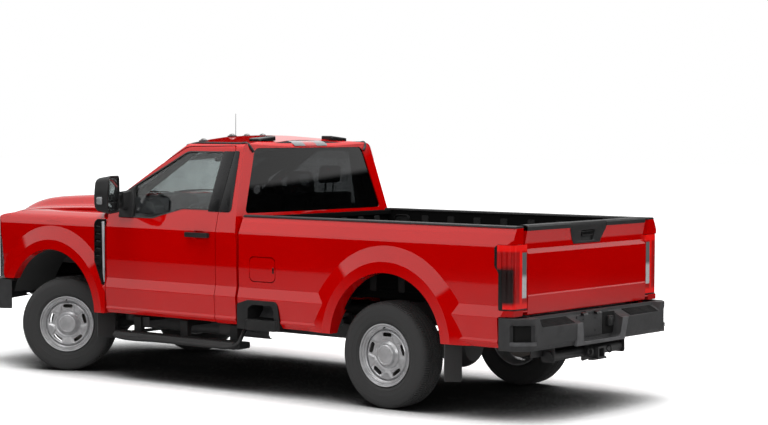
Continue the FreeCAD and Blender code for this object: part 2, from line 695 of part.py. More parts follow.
def fuel_door():
    """Filler door, flush with the bed side."""
    skin = along_x(bed_side_section(), BED_REAR_X, BED_FRONT_X)
    flap = skin.common(along_y(fuel_shape(0), SIDE_Y - FUEL_THICKNESS, SIDE_Y + 40)).Solids[0]
    edge = FUEL_X0 + FUEL_LENGTH
    pivot = edge + FUEL_GAP / 2
    radius = FUEL_GAP / 2 - SEAT_CLEAR
    lugs = []
    for z in (FUEL_Z0 + 60, FUEL_Z0 + FUEL_HEIGHT - 90):
        lugs += [rod(radius, V(pivot, SIDE_Y, z), V(pivot, SIDE_Y, z + 30)),
                 block(edge - 1, pivot, SIDE_Y - radius, SIDE_Y, z, z + 30)]
    return fused(flap, *lugs)


def bed_floor():
    """Ribbed load floor with its cross sills."""
    rib_pitch = 122.0
    rib_height = 14.0
    ribs = 13
    top = []
    for i in range(ribs):
        middle = (i - (ribs - 1) / 2) * rib_pitch
        top += [(middle - 38, BED_FLOOR_Z - rib_height), (middle - 26, BED_FLOOR_Z),
                (middle + 26, BED_FLOOR_Z), (middle + 38, BED_FLOOR_Z - rib_height)]
    edge = BED_WALL_Y - SEAT_CLEAR
    section = [(-edge, BED_FLOOR_Z - rib_height)] + top
    section += [(edge, BED_FLOOR_Z - rib_height), (edge, BED_FLOOR_Z - 20), (-edge, BED_FLOOR_Z - 20)]
    plate = along_x(section, BED_REAR_X + FLOOR_SETBACK, BED_FRONT_X)
    sills = []
    for x in (BED_REAR_X + 150, BED_REAR_X + 560, REAR_AXLE_X, BED_FRONT_X - 885, BED_FRONT_X - 405,
              BED_FRONT_X - 105):
        sills.append(along_x([(-620, BED_FLOOR_Z - 20), (-600, BED_SILL_Z), (600, BED_SILL_Z),
                              (620, BED_FLOOR_Z - 20)], x - 40, x + 40))
    floor = plate.fuse(sills)
    wheel_space = wheelhouse(-SEAT_CLEAR)
    return floor.cut([wheel_space, mirrored(wheel_space)]).removeSplitter()


def bed_front_wall():
    """Front wall of the bed with its top rail and pressed panels."""
    edge = BED_WALL_Y - SEAT_CLEAR
    x0 = BED_FRONT_X - FRONT_WALL
    wall = along_y([(x0 + 14, BED_FLOOR_Z + SEAT_CLEAR), (BED_FRONT_X, BED_FLOOR_Z + SEAT_CLEAR),
                    (BED_FRONT_X, RAIL_Z, 6), (x0 - 24, RAIL_Z, 8), (x0 - 24, RAIL_Z - 36, 8),
                    (x0 + 14, RAIL_Z - 52, 10)], -edge, edge)
    panels = []
    for y in (-560, 0, 560):
        panels.append(along_x([(y - 230, BED_FLOOR_Z + 70, 30), (y + 230, BED_FLOOR_Z + 70, 30),
                               (y + 230, RAIL_Z - 110, 30), (y - 230, RAIL_Z - 110, 30)], x0 - 30, x0 + 22))
    return wall.cut(panels)


def rail_caps():
    """Black mouldings on the tops of the bed sides."""
    cap = along_x([(BED_WALL_Y - 6, RAIL_Z + SEAT_CLEAR, 0), (RAIL_Y + 6, RAIL_Z + SEAT_CLEAR, 0),
                   (RAIL_Y + 2, RAIL_Z + 15, 8), (BED_WALL_Y - 4, RAIL_Z + 15, 6)], BED_REAR_X + 4,
                  BED_FRONT_X - 2)
    return both(cap)


def tail_lamps():
    """Left and right tail lamps round the bed's rear corners, and the high stop lamp."""
    form = lamp_form(0)
    plan = along_z([(BED_REAR_X - 2, TAILGATE_Y), (BED_REAR_X - 2, SIDE_Y - 22, 34),
                    (BED_REAR_X + 118, SIDE_Y + 5, 240), (BED_REAR_X + 300, SIDE_Y + 5),
                    (BED_REAR_X + 300, TAILGATE_Y)], 700, 1400)
    left = form.common(plan).removeSplitter()
    return Part.makeCompound([left, mirrored(left), stop_lamp()])


def tailgate_section():
    """Closed X-Z section: spoiler lip, main face and tucked lower edge."""
    face = TAILGATE_FACE_X
    return [
        (TAILGATE_INNER_X, TAILGATE_BOTTOM_Z + 6, 6),
        (face + 2, TAILGATE_BOTTOM_Z, 8),
        (face - 5, 893, 5),
        (face + 1, 902, 5),
        (face, 1196, 12),
        (face + 20, 1226, 8),
        (face + 26, 1262, 60),
        (face + 4, RAIL_Z - 6, 14),
        (face + 12, RAIL_Z + 12, 8),
        (TAILGATE_INNER_X, RAIL_Z + 12, 8),
    ]


def latch_shape(grow):
    """Y-Z outline of the black latch panel in the tailgate's top edge."""
    return [(-124 - grow, 1244 - grow, 20), (124 + grow, 1244 - grow, 20), (178 + grow, RAIL_Z + 30),
            (-178 - grow, RAIL_Z + 30)]


def tailgate():
    """Tailgate with a recess for its latch panel and pressed inner panel."""
    gate = along_y(tailgate_section(), -TAILGATE_Y, TAILGATE_Y)
    latch = along_x(latch_shape(SEAT_CLEAR), TAILGATE_FACE_X - 20, TAILGATE_FACE_X + 44)
    pressing = along_x([(-640, 880, 40), (640, 880, 40), (640, 1300, 40), (-640, 1300, 40)],
                       TAILGATE_INNER_X - 10, TAILGATE_INNER_X + 10)
    reach = BED_WALL_Y - SEAT_CLEAR
    stub = rod(TRUNNION_RADIUS, V(TAILGATE_PIVOT_X, TAILGATE_Y - 10, TAILGATE_PIVOT_Z),
               V(TAILGATE_PIVOT_X, reach, TAILGATE_PIVOT_Z))
    return fused(gate.cut([latch, pressing]), stub, mirrored(stub))


def tailgate_handle():
    """Latch panel with its finger pocket."""
    gate = along_y(tailgate_section(), -TAILGATE_Y, TAILGATE_Y)
    panel = gate.common(along_x(latch_shape(0), TAILGATE_FACE_X - 20,
                                TAILGATE_FACE_X + 44 - SEAT_CLEAR)).Solids[0]
    pocket = along_x([(-78, 1262, 10), (78, 1262, 10), (92, 1322, 14), (-92, 1322, 14)],
                     TAILGATE_FACE_X - 20, TAILGATE_FACE_X + 34)
    return panel.cut(pocket)


def fender_section():
    """Closed Y-Z section of one front fender."""
    inner = HOOD_SIDE_Y + SHUT_GAP / 2
    return lower_skin() + [(SIDE_Y - 34, FENDER_TOP_Z - 36, 90), (SIDE_Y - 110, FENDER_TOP_Z, 160),
                           (inner, FENDER_TOP_Z + 12), (inner, FENDER_TOP_Z - 70),
                           (SIDE_Y - FENDER_WALL, FENDER_HAUNCH_Z, 60), (SIDE_Y - FENDER_WALL, SILL_Z)]


def front_plan():
    """X-Y outline that tapers the front corners of fenders and bonnet."""
    return [(FENDER_REAR_X - 10, -1200), (FENDER_FRONT_X - 330, -1200), (FENDER_FRONT_X - 330, -1022),
            (FENDER_FRONT_X - 120, -1010, 260), (FENDER_FRONT_X + 10, -930, 120),
            (FENDER_FRONT_X + 90, -640, 400), (FENDER_FRONT_X + 118, 0, 3000),
            (FENDER_FRONT_X + 90, 640, 400), (FENDER_FRONT_X + 10, 930, 120),
            (FENDER_FRONT_X - 120, 1010, 260), (FENDER_FRONT_X - 330, 1022), (FENDER_FRONT_X - 330, 1200),
            (FENDER_REAR_X - 10, 1200)]


def nose_profile():
    """X-Z outline that rounds the fenders down to the head lamps."""
    return [(FENDER_REAR_X, SILL_Z - 10), (FRONT_ARCH.x + 200, SILL_Z - 10),
            (FRONT_ARCH.x + 200, FENDER_FOOT_Z), (FENDER_FRONT_X - 130, FENDER_FOOT_Z, 10),
            (FENDER_FRONT_X - 96, 1130, 300), (FENDER_FRONT_X + 10, NOSE_DROP_Z, 30),
            (FENDER_FRONT_X - 60, FENDER_TOP_Z - 40, 120), (FENDER_FRONT_X - 340, FENDER_TOP_Z + 6, 600),
            (FENDER_REAR_X, FENDER_TOP_Z + 30)]


def vent_shape(grow):
    """X-Z outline of the vent trim behind the front arch."""
    x = FENDER_REAR_X + VENT_BACK
    return [(x - grow, VENT_BOTTOM_Z - grow, 8), (x + 34 + grow, VENT_BOTTOM_Z - grow, 12),
            (x + VENT_LENGTH + grow, VENT_BOTTOM_Z + 200, 60), (x + VENT_LENGTH + grow, VENT_TOP_Z - 30, 40),
            (x + VENT_LENGTH - 40, VENT_TOP_Z + grow, 30), (x - grow, VENT_TOP_Z + grow, 8)]


def fender():
    """Left front fender: wrapped side, flared arch, vent pocket and lamp corner."""
    prism = along_x(fender_section(), FENDER_REAR_X, FENDER_FRONT_X + 60)
    lip = flare(FRONT_ARCH, FRONT_ARCH_RADIUS).common(block(FENDER_REAR_X, FENDER_FRONT_X, 0, 1100,
                                                            SILL_Z, FENDER_TOP_Z - 60))
    panel = prism.fuse(lip)
    panel = panel.common(along_y(nose_profile(), 0, 1200)).common(along_z(front_plan(), 0, 1500))
    arch = arch_cut(FRONT_ARCH, FRONT_ARCH_RADIUS, 600, 1100)
    vent = along_y(vent_shape(SEAT_CLEAR), SIDE_Y - 14, 1100)
    return panel.cut([arch, vent, head_lamp_form(LAMP_GAP)]).removeSplitter().Solids[0]


def fenders():
    """Left and right front fenders."""
    return both(fender())


def fender_vents():
    """Slatted vent trims behind the front arches."""
    x = FENDER_REAR_X + VENT_BACK
    trim = along_y(vent_shape(0), SIDE_Y - 14 + SEAT_CLEAR, SIDE_Y + 6)
    slats = []
    for i in range(7):
        z = VENT_BOTTOM_Z + 130 + i * 56
        slats.append(block(x + 52, x + VENT_LENGTH + 40, SIDE_Y - 8, SIDE_Y + 20, z, z + 34))
    keep = along_y(vent_shape(-8), 900, 1100)
    return both(trim.cut([s.common(keep) for s in slats]))


def head_lamp_form(gap):
    """Space of the left head lamp, grown by gap."""
    side = along_y([(FENDER_FRONT_X - 150 - gap, HEAD_LAMP_BOTTOM_Z - gap),
                    (FENDER_FRONT_X + 150, HEAD_LAMP_BOTTOM_Z - gap),
                    (FENDER_FRONT_X + 150, HEAD_LAMP_TOP_Z + gap),
                    (FENDER_FRONT_X - 10, HEAD_LAMP_TOP_Z + gap, 20),
                    (FENDER_FRONT_X - 92 - gap, 1130, 200), (FENDER_FRONT_X - 128 - gap, 800, 100)],
                   HEAD_LAMP_INNER_Y - gap, 1200)
    return side


def head_lamps():
    """Left and right head lamps set into the front corners."""
    form = head_lamp_form(0).common(along_z(front_plan(), 0, 1500))
    return both(form.Solids[0])


def hood_section(x, side_z, dome_z):
    """Closed Y-Z section of the bonnet at x, with its raised middle."""
    half = HOOD_SIDE_Y - SHUT_GAP / 2
    crown = [(half, side_z), (720, side_z + 16), (655, side_z + 22), (600, dome_z), (420, dome_z + 16),
             (0, dome_z + 26)]
    across = crown + [(-y, z) for y, z in reversed(crown[:-1])]
    top = Part.BSplineCurve()
    top.interpolate([V(x, y, z) for y, z in across])
    low = side_z - HOOD_THICKNESS
    left = V(x, half, low)
    right = V(x, -half, low)
    edges = [top.toShape(), Part.LineSegment(V(x, -half, side_z), right).toShape(),
             Part.LineSegment(right, left).toShape(), Part.LineSegment(left, V(x, half, side_z)).toShape()]
    return Part.Wire(edges)


def hood():
    """Bonnet lofted over its raised middle, with a turned-down front edge."""
    stations = [(HOOD_REAR_X, 1390, 1473), (HOOD_REAR_X + 197, 1388, 1470), (HOOD_REAR_X + 617, 1370, 1448),
                (FENDER_FRONT_X - 80, 1328, 1392), (FENDER_FRONT_X + 120, 1264, 1300)]
    form = Part.makeLoft([hood_section(*s) for s in stations], True, False)
    nose = along_y([(HOOD_REAR_X, 1100), (FENDER_FRONT_X + 74, 1100),
                    (FENDER_FRONT_X + 74, NOSE_DROP_Z - 6), (FENDER_FRONT_X + 62, 1300, 60),
                    (FENDER_FRONT_X - 40, 1600), (HOOD_REAR_X, 1600)], -900, 900)
    panel = form.common(nose).common(along_z(front_plan(), 1000, 1700)).Solids[0]
    barrel = rod(HOOD_BARREL, V(HOOD_PIVOT_X, HOOD_HINGE_Y - 20, HOOD_PIVOT_Z),
                 V(HOOD_PIVOT_X, HOOD_HINGE_Y + 20, HOOD_PIVOT_Z))
    return fused(panel, barrel, mirrored(barrel))


def grille():
    """Grille between the head lamps: frame, two broad bars and thin slats behind them."""
    x1 = GRILLE_FACE_X
    x0 = x1 - GRILLE_DEPTH
    half = HEAD_LAMP_INNER_Y - LAMP_GAP - SEAT_CLEAR
    top = NOSE_DROP_Z - 14
    low = HEAD_LAMP_BOTTOM_Z
    frame = along_x([(-half, low, 30), (half, low, 30), (half, top, 30), (-half, top, 30)], x0, x1)
    hole = along_x([(-half + 34, low + 34, 24), (half - 34, low + 34, 24), (half - 34, top - 34, 24),
                    (-half + 34, top - 34, 24)], x0 - 5, x1 + 5)
    pieces = []
    for z in (low + 150, low + 294):
        pieces.append(block(x0 + 10, x1 - 6, -half + 20, half - 20, z, z + 52))
    slats = 9
    for i in range(1, slats):
        z = low + 34 + (top - low - 68) * i / slats
        pieces.append(block(x0 + 12, x0 + 40, -half + 20, half - 20, z - 7, z + 7))
    return fused(frame.cut(hole), *pieces)


def radiator():
    """Radiator in its support panel behind the grille."""
    x1 = GRILLE_FACE_X - GRILLE_DEPTH - SEAT_CLEAR
    half = HEAD_LAMP_INNER_Y - SEAT_CLEAR
    top = NOSE_DROP_Z - 14
    low = BUMPER_TOP_Z + SEAT_CLEAR
    support = along_x([(-half, low, 20), (half, low, 20), (half, top, 20), (-half, top, 20)], x1 - 60, x1)
    core = along_x([(-half + 60, low + 60, 10), (half - 60, low + 60, 10), (half - 60, top - 60, 10),
                    (-half + 60, top - 60, 10)], x1 - 80, x1 + 10)
    return fused(support.cut(core), block(x1 - 52, x1 - 12, -half + 50, half - 50, low + 50, top - 50))


def front_bumper():
    """Front bumper: pressed bar with wrapped ends, a lower air opening and two tow hooks."""
    rear = FRONT_AXLE_X + 520
    plan = [(rear, -1000), (NOSE_X - 190, -1000, 90), (NOSE_X - 22, -860, 160), (NOSE_X, -360, 1500),
            (NOSE_X, 360, 1500), (NOSE_X - 22, 860, 160), (NOSE_X - 190, 1000, 90), (rear, 1000)]
    inner = [(rear - 10, -994), (NOSE_X - 192, -994, 86), (NOSE_X - 30, -855, 156),
             (NOSE_X - 8, -360, 1500), (NOSE_X - 8, 360, 1500), (NOSE_X - 30, 855, 156),
             (NOSE_X - 192, 994, 86), (rear - 10, 994)]
    face = along_y([(rear - 20, BUMPER_LOW_Z + 20), (NOSE_X - 60, BUMPER_LOW_Z, 30),
                    (NOSE_X + 1, BUMPER_LOW_Z + 90, 40), (NOSE_X + 1, BUMPER_TOP_Z - 30, 24),
                    (NOSE_X - 40, BUMPER_TOP_Z, 16), (rear - 20, BUMPER_TOP_Z)], -1100, 1100)
    bar = along_z(plan, 400, 900).common(face)
    shell = bar.cut(along_z(inner, 400, BUMPER_TOP_Z - 6))
    opening = along_x([(-440, 556, 30), (440, 556, 30), (470, 640, 30), (-470, 640, 30)], NOSE_X - 120,
                      NOSE_X + 20)
    bars = [block(NOSE_X - 30, NOSE_X - 5, -480, 480, z, z + 14) for z in (574, 608)]
    hooks = []
    for y in (-560, 560):
        hook = along_y([(NOSE_X - 170, 620, 10), (NOSE_X - 12, 620, 20), (NOSE_X - 12, 690, 30),
                        (NOSE_X - 170, 690, 10)], y - 18, y + 18)
        eye = along_y([(NOSE_X - 74, 638, 16), (NOSE_X - 26, 638, 16), (NOSE_X - 26, 674, 16),
                       (NOSE_X - 74, 674, 16)], y - 40, y + 40)
        slot = along_x([(y - 40, 604, 14), (y + 40, 604, 14), (y + 40, 706, 14), (y - 40, 706, 14)],
                       NOSE_X - 120, NOSE_X + 20)
        hooks.append((hook.cut(eye), slot))
    shell = shell.cut([opening] + [slot for _, slot in hooks])
    bracket = []
    for y in (-RAIL_OUTER_Y + RAIL_WIDTH / 2, RAIL_OUTER_Y - RAIL_WIDTH / 2):
        bracket.append(block(FRAME_FRONT_X + SEAT_CLEAR, NOSE_X - 140, y - 30, y + 30, RAIL_BOTTOM_Z + 60,
                             RAIL_BOTTOM_Z + 160))
    beam = block(NOSE_X - 170, NOSE_X - 120, -760, 760, 590, 700)
    ends = [block(NOSE_X - 240, NOSE_X - 120, s * 700 - 60, s * 700 + 60, BUMPER_TOP_Z - 40,
                  BUMPER_TOP_Z - 3) for s in (-1, 1)]
    posts = [block(NOSE_X - 165, NOSE_X - 125, s * 700 - 30, s * 700 + 30, 650, BUMPER_TOP_Z - 20)
             for s in (-1, 1)]
    return fused(shell, beam, *bracket, *ends, *posts, *bars, *[h for h, _ in hooks])


def rear_bumper():
    """Rear step bumper: corner steps, step pads and a centre notch for the number plate."""
    low = REAR_BUMPER_LOW_Z
    top = REAR_BUMPER_TOP_Z
    front = BED_REAR_X - 26
    plan = [(BED_REAR_X + 110, 1006, 16), (BED_REAR_X + 110, 960), (front, 940), (front, -940),
            (BED_REAR_X + 110, -960), (BED_REAR_X + 110, -1006, 16), (TAIL_X + 120, -1006, 60),
            (TAIL_X + 26, -900, 110), (TAIL_X, -300, 900), (TAIL_X, 300, 900), (TAIL_X + 26, 900, 110),
            (TAIL_X + 120, 1006, 60)]
    bar = along_z(plan, low, top)
    face = along_y([(TAIL_X + 40, low, 14), (TAIL_X, low + 50, 20), (TAIL_X, top - 22, 14),
                    (TAIL_X + 22, top, 8), (BED_REAR_X + 200, top), (BED_REAR_X + 200, low)], -1100, 1100)
    bar = bar.common(face)
    hollow = along_z([(BED_REAR_X + 200, 1000, 0), (TAIL_X + 122, 1000, 56), (TAIL_X + 32, 896, 106),
                      (TAIL_X + 6, 300, 900), (TAIL_X + 6, -300, 900), (TAIL_X + 32, -896, 106),
                      (TAIL_X + 122, -1000, 56), (BED_REAR_X + 200, -1000, 0)], low - 10, top - 6)
    shell = bar.cut(hollow)
    notch_wall = block(TAIL_X + 2, TAIL_X + 84, -232, 232, low + 20, top - 4)
    notch = along_x([(-206, low + 44, 24), (206, low + 44, 24), (226, top + 20), (-226, top + 20)],
                    TAIL_X - 10, TAIL_X + 76)
    pocket_wall = block(TAIL_X + 6, TAIL_X + 116, 640, 892, low + 34, low + 190)
    pocket = along_x([(656, low + 48, 18), (874, low + 48, 18), (862, low + 176, 18),
                      (646, low + 176, 18)], TAIL_X - 10, TAIL_X + 108)
    brackets = [block(TAIL_X + 100, FRAME_REAR_X - SEAT_CLEAR, s * (RAIL_OUTER_Y - RAIL_WIDTH / 2) - 30,
                      s * (RAIL_OUTER_Y - RAIL_WIDTH / 2) + 30, 560, 700) for s in (-1, 1)]
    beam = block(TAIL_X + 90, TAIL_X + 108, -700, 700, 580, 700)
    shell = fused(shell, notch_wall.common(bar), pocket_wall.common(bar),
                  mirrored(pocket_wall).common(bar), beam, *brackets)
    return shell.cut([notch, pocket, mirrored(pocket)]).removeSplitter()


def tyre(x, y):
    """Plain tyre out to the tread's blocks, about the wheel's centre plane."""
    half = TYRE_HALF_WIDTH
    bead = BEAD_HALF_WIDTH
    lip = FLANGE_RADIUS + 3
    side = [(bead, BEAD_RADIUS), (bead, lip), (half - 3, 276), (half, 318), (half - 16, TYRE_RADIUS - 24),
            (half - 38, TYRE_RADIUS - 3), (half - 80, TYRE_RADIUS)]
    return tyre_ring(side + [(-u, v) for u, v in reversed(side)], y, x, AXLE_Z)


def wheel(x, y, side):
    """Pressed steel wheel with ventilation slots, centre cap, hub and brake disc; side is 1 on the left."""
    bead = BEAD_HALF_WIDTH + SEAT_CLEAR
    seat = BEAD_RADIUS - SEAT_CLEAR
    flange = bead + FLANGE_WIDTH
    barrel = [(-flange, FLANGE_RADIUS), (-bead, FLANGE_RADIUS), (-bead, seat), (-40, seat - 22),
              (50, seat - 22), (bead, seat), (bead, FLANGE_RADIUS), (flange, FLANGE_RADIUS, 3),
              (flange + 2, FLANGE_RADIUS - 8, 3), (bead - 4, seat - 8, 6), (56, seat - 30),
              (-44, seat - 30), (-bead + 2, seat - 8), (-flange - 1, FLANGE_RADIUS - 7)]
    disc = [(44, seat - 25), (56, seat - 25), (68, 176, 10), (82, 160, 8), (78, 118, 12), (62, 106, 6),
            (62, 64), (52, 64), (52, 108, 8), (66, 124, 10), (70, 150, 8), (56, 170, 8)]
    cap = [(60, 0), (CAP_FACE, 0), (CAP_FACE, CAP_RADIUS - 8, 8), (CAP_FACE - 10, CAP_RADIUS, 6),
           (72, CAP_RADIUS + 8, 8), (62, CAP_RADIUS + 22), (60, CAP_RADIUS + 22)]
    hub = [(-ROTOR_BACK, 0), (53, 0), (53, HUB_RADIUS), (-20, HUB_RADIUS), (-20, ROTOR_RADIUS),
           (-ROTOR_BACK, ROTOR_RADIUS)]

    def turned(points):
        return tyre_ring([(side * p[0], *p[1:]) for p in points], y, x, AXLE_Z)

    plate = turned(disc)
    cuts = []
    for i in range(SLOTS):
        angle = math.radians(90 + 360 * i / SLOTS)
        slot = Part.makeBox(SLOT_LENGTH - SLOT_WIDTH, 200, SLOT_WIDTH,
                            V(-(SLOT_LENGTH - SLOT_WIDTH) / 2, -100, -SLOT_WIDTH / 2))
        ends = [Part.makeCylinder(SLOT_WIDTH / 2, 200, V(s * (SLOT_LENGTH - SLOT_WIDTH) / 2, -100, 0),
                                  V(0, 1, 0)) for s in (-1, 1)]
        slot = slot.fuse(ends)
        slot.translate(V(0, 0, SLOT_RADIUS))
        slot.rotate(V(0, 0, 0), V(0, 1, 0), math.degrees(angle) - 90)
        slot.translate(V(x, y + side * 66, AXLE_Z))
        cuts.append(slot)
    return fused(turned(barrel), plate.cut(cuts), turned(cap), turned(hub))


def knuckle():
    """Left steering knuckle: yoke, spindle, caliper and steering arm."""
    y = FRONT_TRACK / 2
    hub_face = y - ROTOR_BACK - SEAT_CLEAR
    x = FRONT_AXLE_X
    spindle = rod(50, V(x, KINGPIN_Y - 10, AXLE_Z), V(x, hub_face, AXLE_Z))
    upright = along_x([(KINGPIN_Y - 22, AXLE_Z - 110, 14), (KINGPIN_Y + 24, AXLE_Z - 110, 14),
                       (KINGPIN_Y + 34, AXLE_Z, 60), (KINGPIN_Y + 24, AXLE_Z + 110, 14),
                       (KINGPIN_Y - 22, AXLE_Z + 110, 14), (KINGPIN_Y - 16, AXLE_Z, 60)], x - 30, x + 30)
    kingpin = rod(28, V(x, KINGPIN_Y, AXLE_Z - 118), V(x, KINGPIN_Y, AXLE_Z + 118))
    caliper = along_y([(x - 176, AXLE_Z - 38, 20), (x - 150, AXLE_Z - 76, 20), (x - 100, AXLE_Z - 60, 20),
                       (x - 100, AXLE_Z + 60, 20), (x - 150, AXLE_Z + 76, 20),
                       (x - 176, AXLE_Z + 38, 20)], hub_face - 46, hub_face)
    tie = block(x - 150, x - 40, KINGPIN_Y, hub_face - 12, AXLE_Z - 26, AXLE_Z + 26)
    arm = along_z([(x - 20, KINGPIN_Y - 12, 6), (x - STEER_ARM - 22, KINGPIN_Y - 22, 18),
                   (x - STEER_ARM - 22, KINGPIN_Y + 22, 18), (x - 20, KINGPIN_Y + 26, 10)],
                  AXLE_Z - ARM_DROP, AXLE_Z - ARM_DROP + 26)
    return fused(spindle, upright, kingpin, caliper, tie, arm)


def steered(shape, side):
    """Front wheel part turned about its kingpin to where the wheels stand."""
    shape.rotate(V(FRONT_AXLE_X, side * KINGPIN_Y, 0), V(0, 0, 1), STEER_AT_REST)
    return shape


def tie_rod():
    """Cross rod under the two steering arms."""
    x = FRONT_AXLE_X - STEER_ARM
    y = KINGPIN_Y
    z = AXLE_Z - ARM_DROP - SEAT_CLEAR - 34
    bar = rod(14, V(x, -y + 16, z + 17), V(x, y - 16, z + 17))
    eyes = [Part.makeCylinder(22, 34, V(x, s * y, z)) for s in (-1, 1)]
    turn = math.radians(STEER_AT_REST)
    linked = fused(bar, *eyes)
    linked.translate(V(STEER_ARM * (1 - math.cos(turn)), -STEER_ARM * math.sin(turn), 0))
    return linked


def front_axle():
    """Solid front drive axle: tube, differential housing and end yokes."""
    x = FRONT_AXLE_X
    tube_end = KINGPIN_Y - 120
    tube = rod(44, V(x, -tube_end, AXLE_Z), V(x, tube_end, AXLE_Z))
    bowl = Part.makeSphere(150, V(x, 250, AXLE_Z)).common(block(x - 118, x + 130, 90, 420, 200, 600))
    nose = Part.makeCone(96, 48, 190, V(x - 90, 250, AXLE_Z + 6), V(-1, 0, 0))
    yokes = []
    for s in (-1, 1):
        yoke = along_x([(s * (tube_end - 20), AXLE_Z - 50), (s * (tube_end - 20), AXLE_Z + 50),
                        (s * (KINGPIN_Y - 30), AXLE_Z + 160, 16),
                        (s * (KINGPIN_Y + 20), AXLE_Z + 160, 16),
                        (s * (KINGPIN_Y + 20), AXLE_Z + 118 + YOKE_GAP),
                        (s * (KINGPIN_Y - 44), AXLE_Z + 118 + YOKE_GAP, 20),
                        (s * (KINGPIN_Y - 74), AXLE_Z, 60),
                        (s * (KINGPIN_Y - 44), AXLE_Z - 118 - YOKE_GAP, 20),
                        (s * (KINGPIN_Y + 20), AXLE_Z - 118 - YOKE_GAP),
                        (s * (KINGPIN_Y + 20), AXLE_Z - 150, 12),
                        (s * (KINGPIN_Y - 30), AXLE_Z - 150, 12)], x - 34, x + 34)
        yokes.append(yoke)
    perches = [block(x - 60, x + 60, s * COIL_Y - 74, s * COIL_Y + 74, AXLE_Z + 30, COIL_SEAT_Z)
               for s in (-1, 1)]
    return fused(tube, bowl, nose, *yokes, *perches)


def rear_axle():
    """Solid rear axle: tapered housing with its differential and spring seats."""
    x = REAR_AXLE_X
    end = REAR_TRACK / 2 - ROTOR_BACK - SEAT_CLEAR
    tube = rod(50, V(x, -end, AXLE_Z), V(x, end, AXLE_Z))
    bowl = Part.makeSphere(178, V(x, 0, AXLE_Z)).common(block(x - 128, x + 160, -170, 170, 200, 600))
    nose = Part.makeCone(110, 56, 210, V(x + 110, 0, AXLE_Z + 8), V(1, 0, 0))
    seats = [block(x - 66, x + 66, s * LEAF_Y - 44, s * LEAF_Y + 44, AXLE_Z + 30, AXLE_Z + LEAF_SEAT)
             for s in (-1, 1)]
    calipers = []
    for s in (-1, 1):
        cal = along_y([(x - 176, AXLE_Z - 38, 20), (x - 150, AXLE_Z - 76, 20), (x - 20, AXLE_Z - 30),
                       (x - 20, AXLE_Z + 30), (x - 150, AXLE_Z + 76, 20), (x - 176, AXLE_Z + 38, 20)],
                      s * (end - 46), s * end)
        calipers.append(cal)
    return fused(tube, bowl, nose, *seats, *calipers)


def leaf_pack(y):
    """Rear leaf spring: three stacked leaves with end eyes and a shackle."""
    x = REAR_AXLE_X
    z = AXLE_Z + LEAF_SEAT + SEAT_CLEAR
    leaves = []
    for i, half in enumerate((730, 560, 380)):
        level = z + (2 - i) * 13
        rise = 60 * (half / 730) ** 2
        lower = Part.Arc(V(x - half, y - LEAF_WIDTH / 2, level + rise), V(x, y - LEAF_WIDTH / 2, level),
                         V(x + half, y - LEAF_WIDTH / 2, level + rise)).toShape()
        upper = Part.Arc(V(x - half, y - LEAF_WIDTH / 2, level + rise + 13),
                         V(x, y - LEAF_WIDTH / 2, level + 13),
                         V(x + half, y - LEAF_WIDTH / 2, level + rise + 13)).toShape()
        ends = [Part.LineSegment(V(x + s * half, y - LEAF_WIDTH / 2, level + rise),
                                 V(x + s * half, y - LEAF_WIDTH / 2, level + rise + 13)).toShape()
                for s in (-1, 1)]
        ring = Part.Wire(Part.__sortEdges__([lower, ends[1], upper, ends[0]]))
        leaves.append(Part.Face(ring).extrude(V(0, LEAF_WIDTH, 0)))
    eyes = [rod(30, V(x + s * LEAF_REACH, y - LEAF_WIDTH / 2, z + 108),
                V(x + s * LEAF_REACH, y + LEAF_WIDTH / 2, z + 108)) for s in (-1, 1)]
    clamp = block(x - 60, x + 60, y - 44, y + 44, z + 39, z + 56)
    return fused(leaves[0], *leaves[1:], *eyes, clamp)


def coil_spring(y):
    """Front coil spring as a closed helix between its seats."""
    z0 = COIL_SEAT_Z + SEAT_CLEAR + 9
    height = COIL_HEIGHT - 18
    turns = 5
    helix = Part.makeLongHelix(height / turns, height, SPRING_RADIUS)
    helix.translate(V(FRONT_AXLE_X, y, z0))
    start = V(FRONT_AXLE_X + SPRING_RADIUS, y, z0)
    circle = Part.Wire(Part.Circle(start, V(0, 1, 0.17), 9).toShape())
    return Part.Wire(helix.Edges).makePipeShell([circle], True, True)


def springs():
    """Rear leaf packs and front coils."""
    return Part.makeCompound([leaf_pack(LEAF_Y), leaf_pack(-LEAF_Y), coil_spring(COIL_Y),
                              coil_spring(-COIL_Y)])


def rail_line():
    """X-Z centre points of a frame rail, from tail to nose."""
    low = RAIL_BOTTOM_Z
    kick = BED_SILL_Z - SEAT_CLEAR - RAIL_DEPTH
    return [(FRAME_REAR_X, low + 110), (REAR_AXLE_X - 560, low + 120), (REAR_AXLE_X - 260, kick),
            (REAR_AXLE_X + 260, kick), (REAR_AXLE_X + 700, low), (FRONT_AXLE_X - 640, low),
            (FRONT_AXLE_X - 300, low + FRONT_KICK), (FRONT_AXLE_X + 260, low + FRONT_KICK),
            (FRAME_FRONT_X, low + 120)]


def rail_side(wall):
    """Closed X-Z outline of a rail, thinner by wall all round but open at its ends."""
    line = rail_line()
    low = [(x, z + wall, 120) for x, z in line[1:-1]]
    high = [(x, z + RAIL_DEPTH - wall, 120) for x, z in line[1:-1]]
    reach = 10.0 if wall else 0.0
    first, last = line[0], line[-1]
    return ([(first[0] - reach, first[1] + wall)] + low + [(last[0] + reach,
                                                            last[1] + wall)] + [(last[0] + reach,
                                                                                 last[1] + RAIL_DEPTH - 40
                                                                                 - wall)] + high[::-1]
            + [(first[0] - reach, first[1] + RAIL_DEPTH - 50 - wall)])


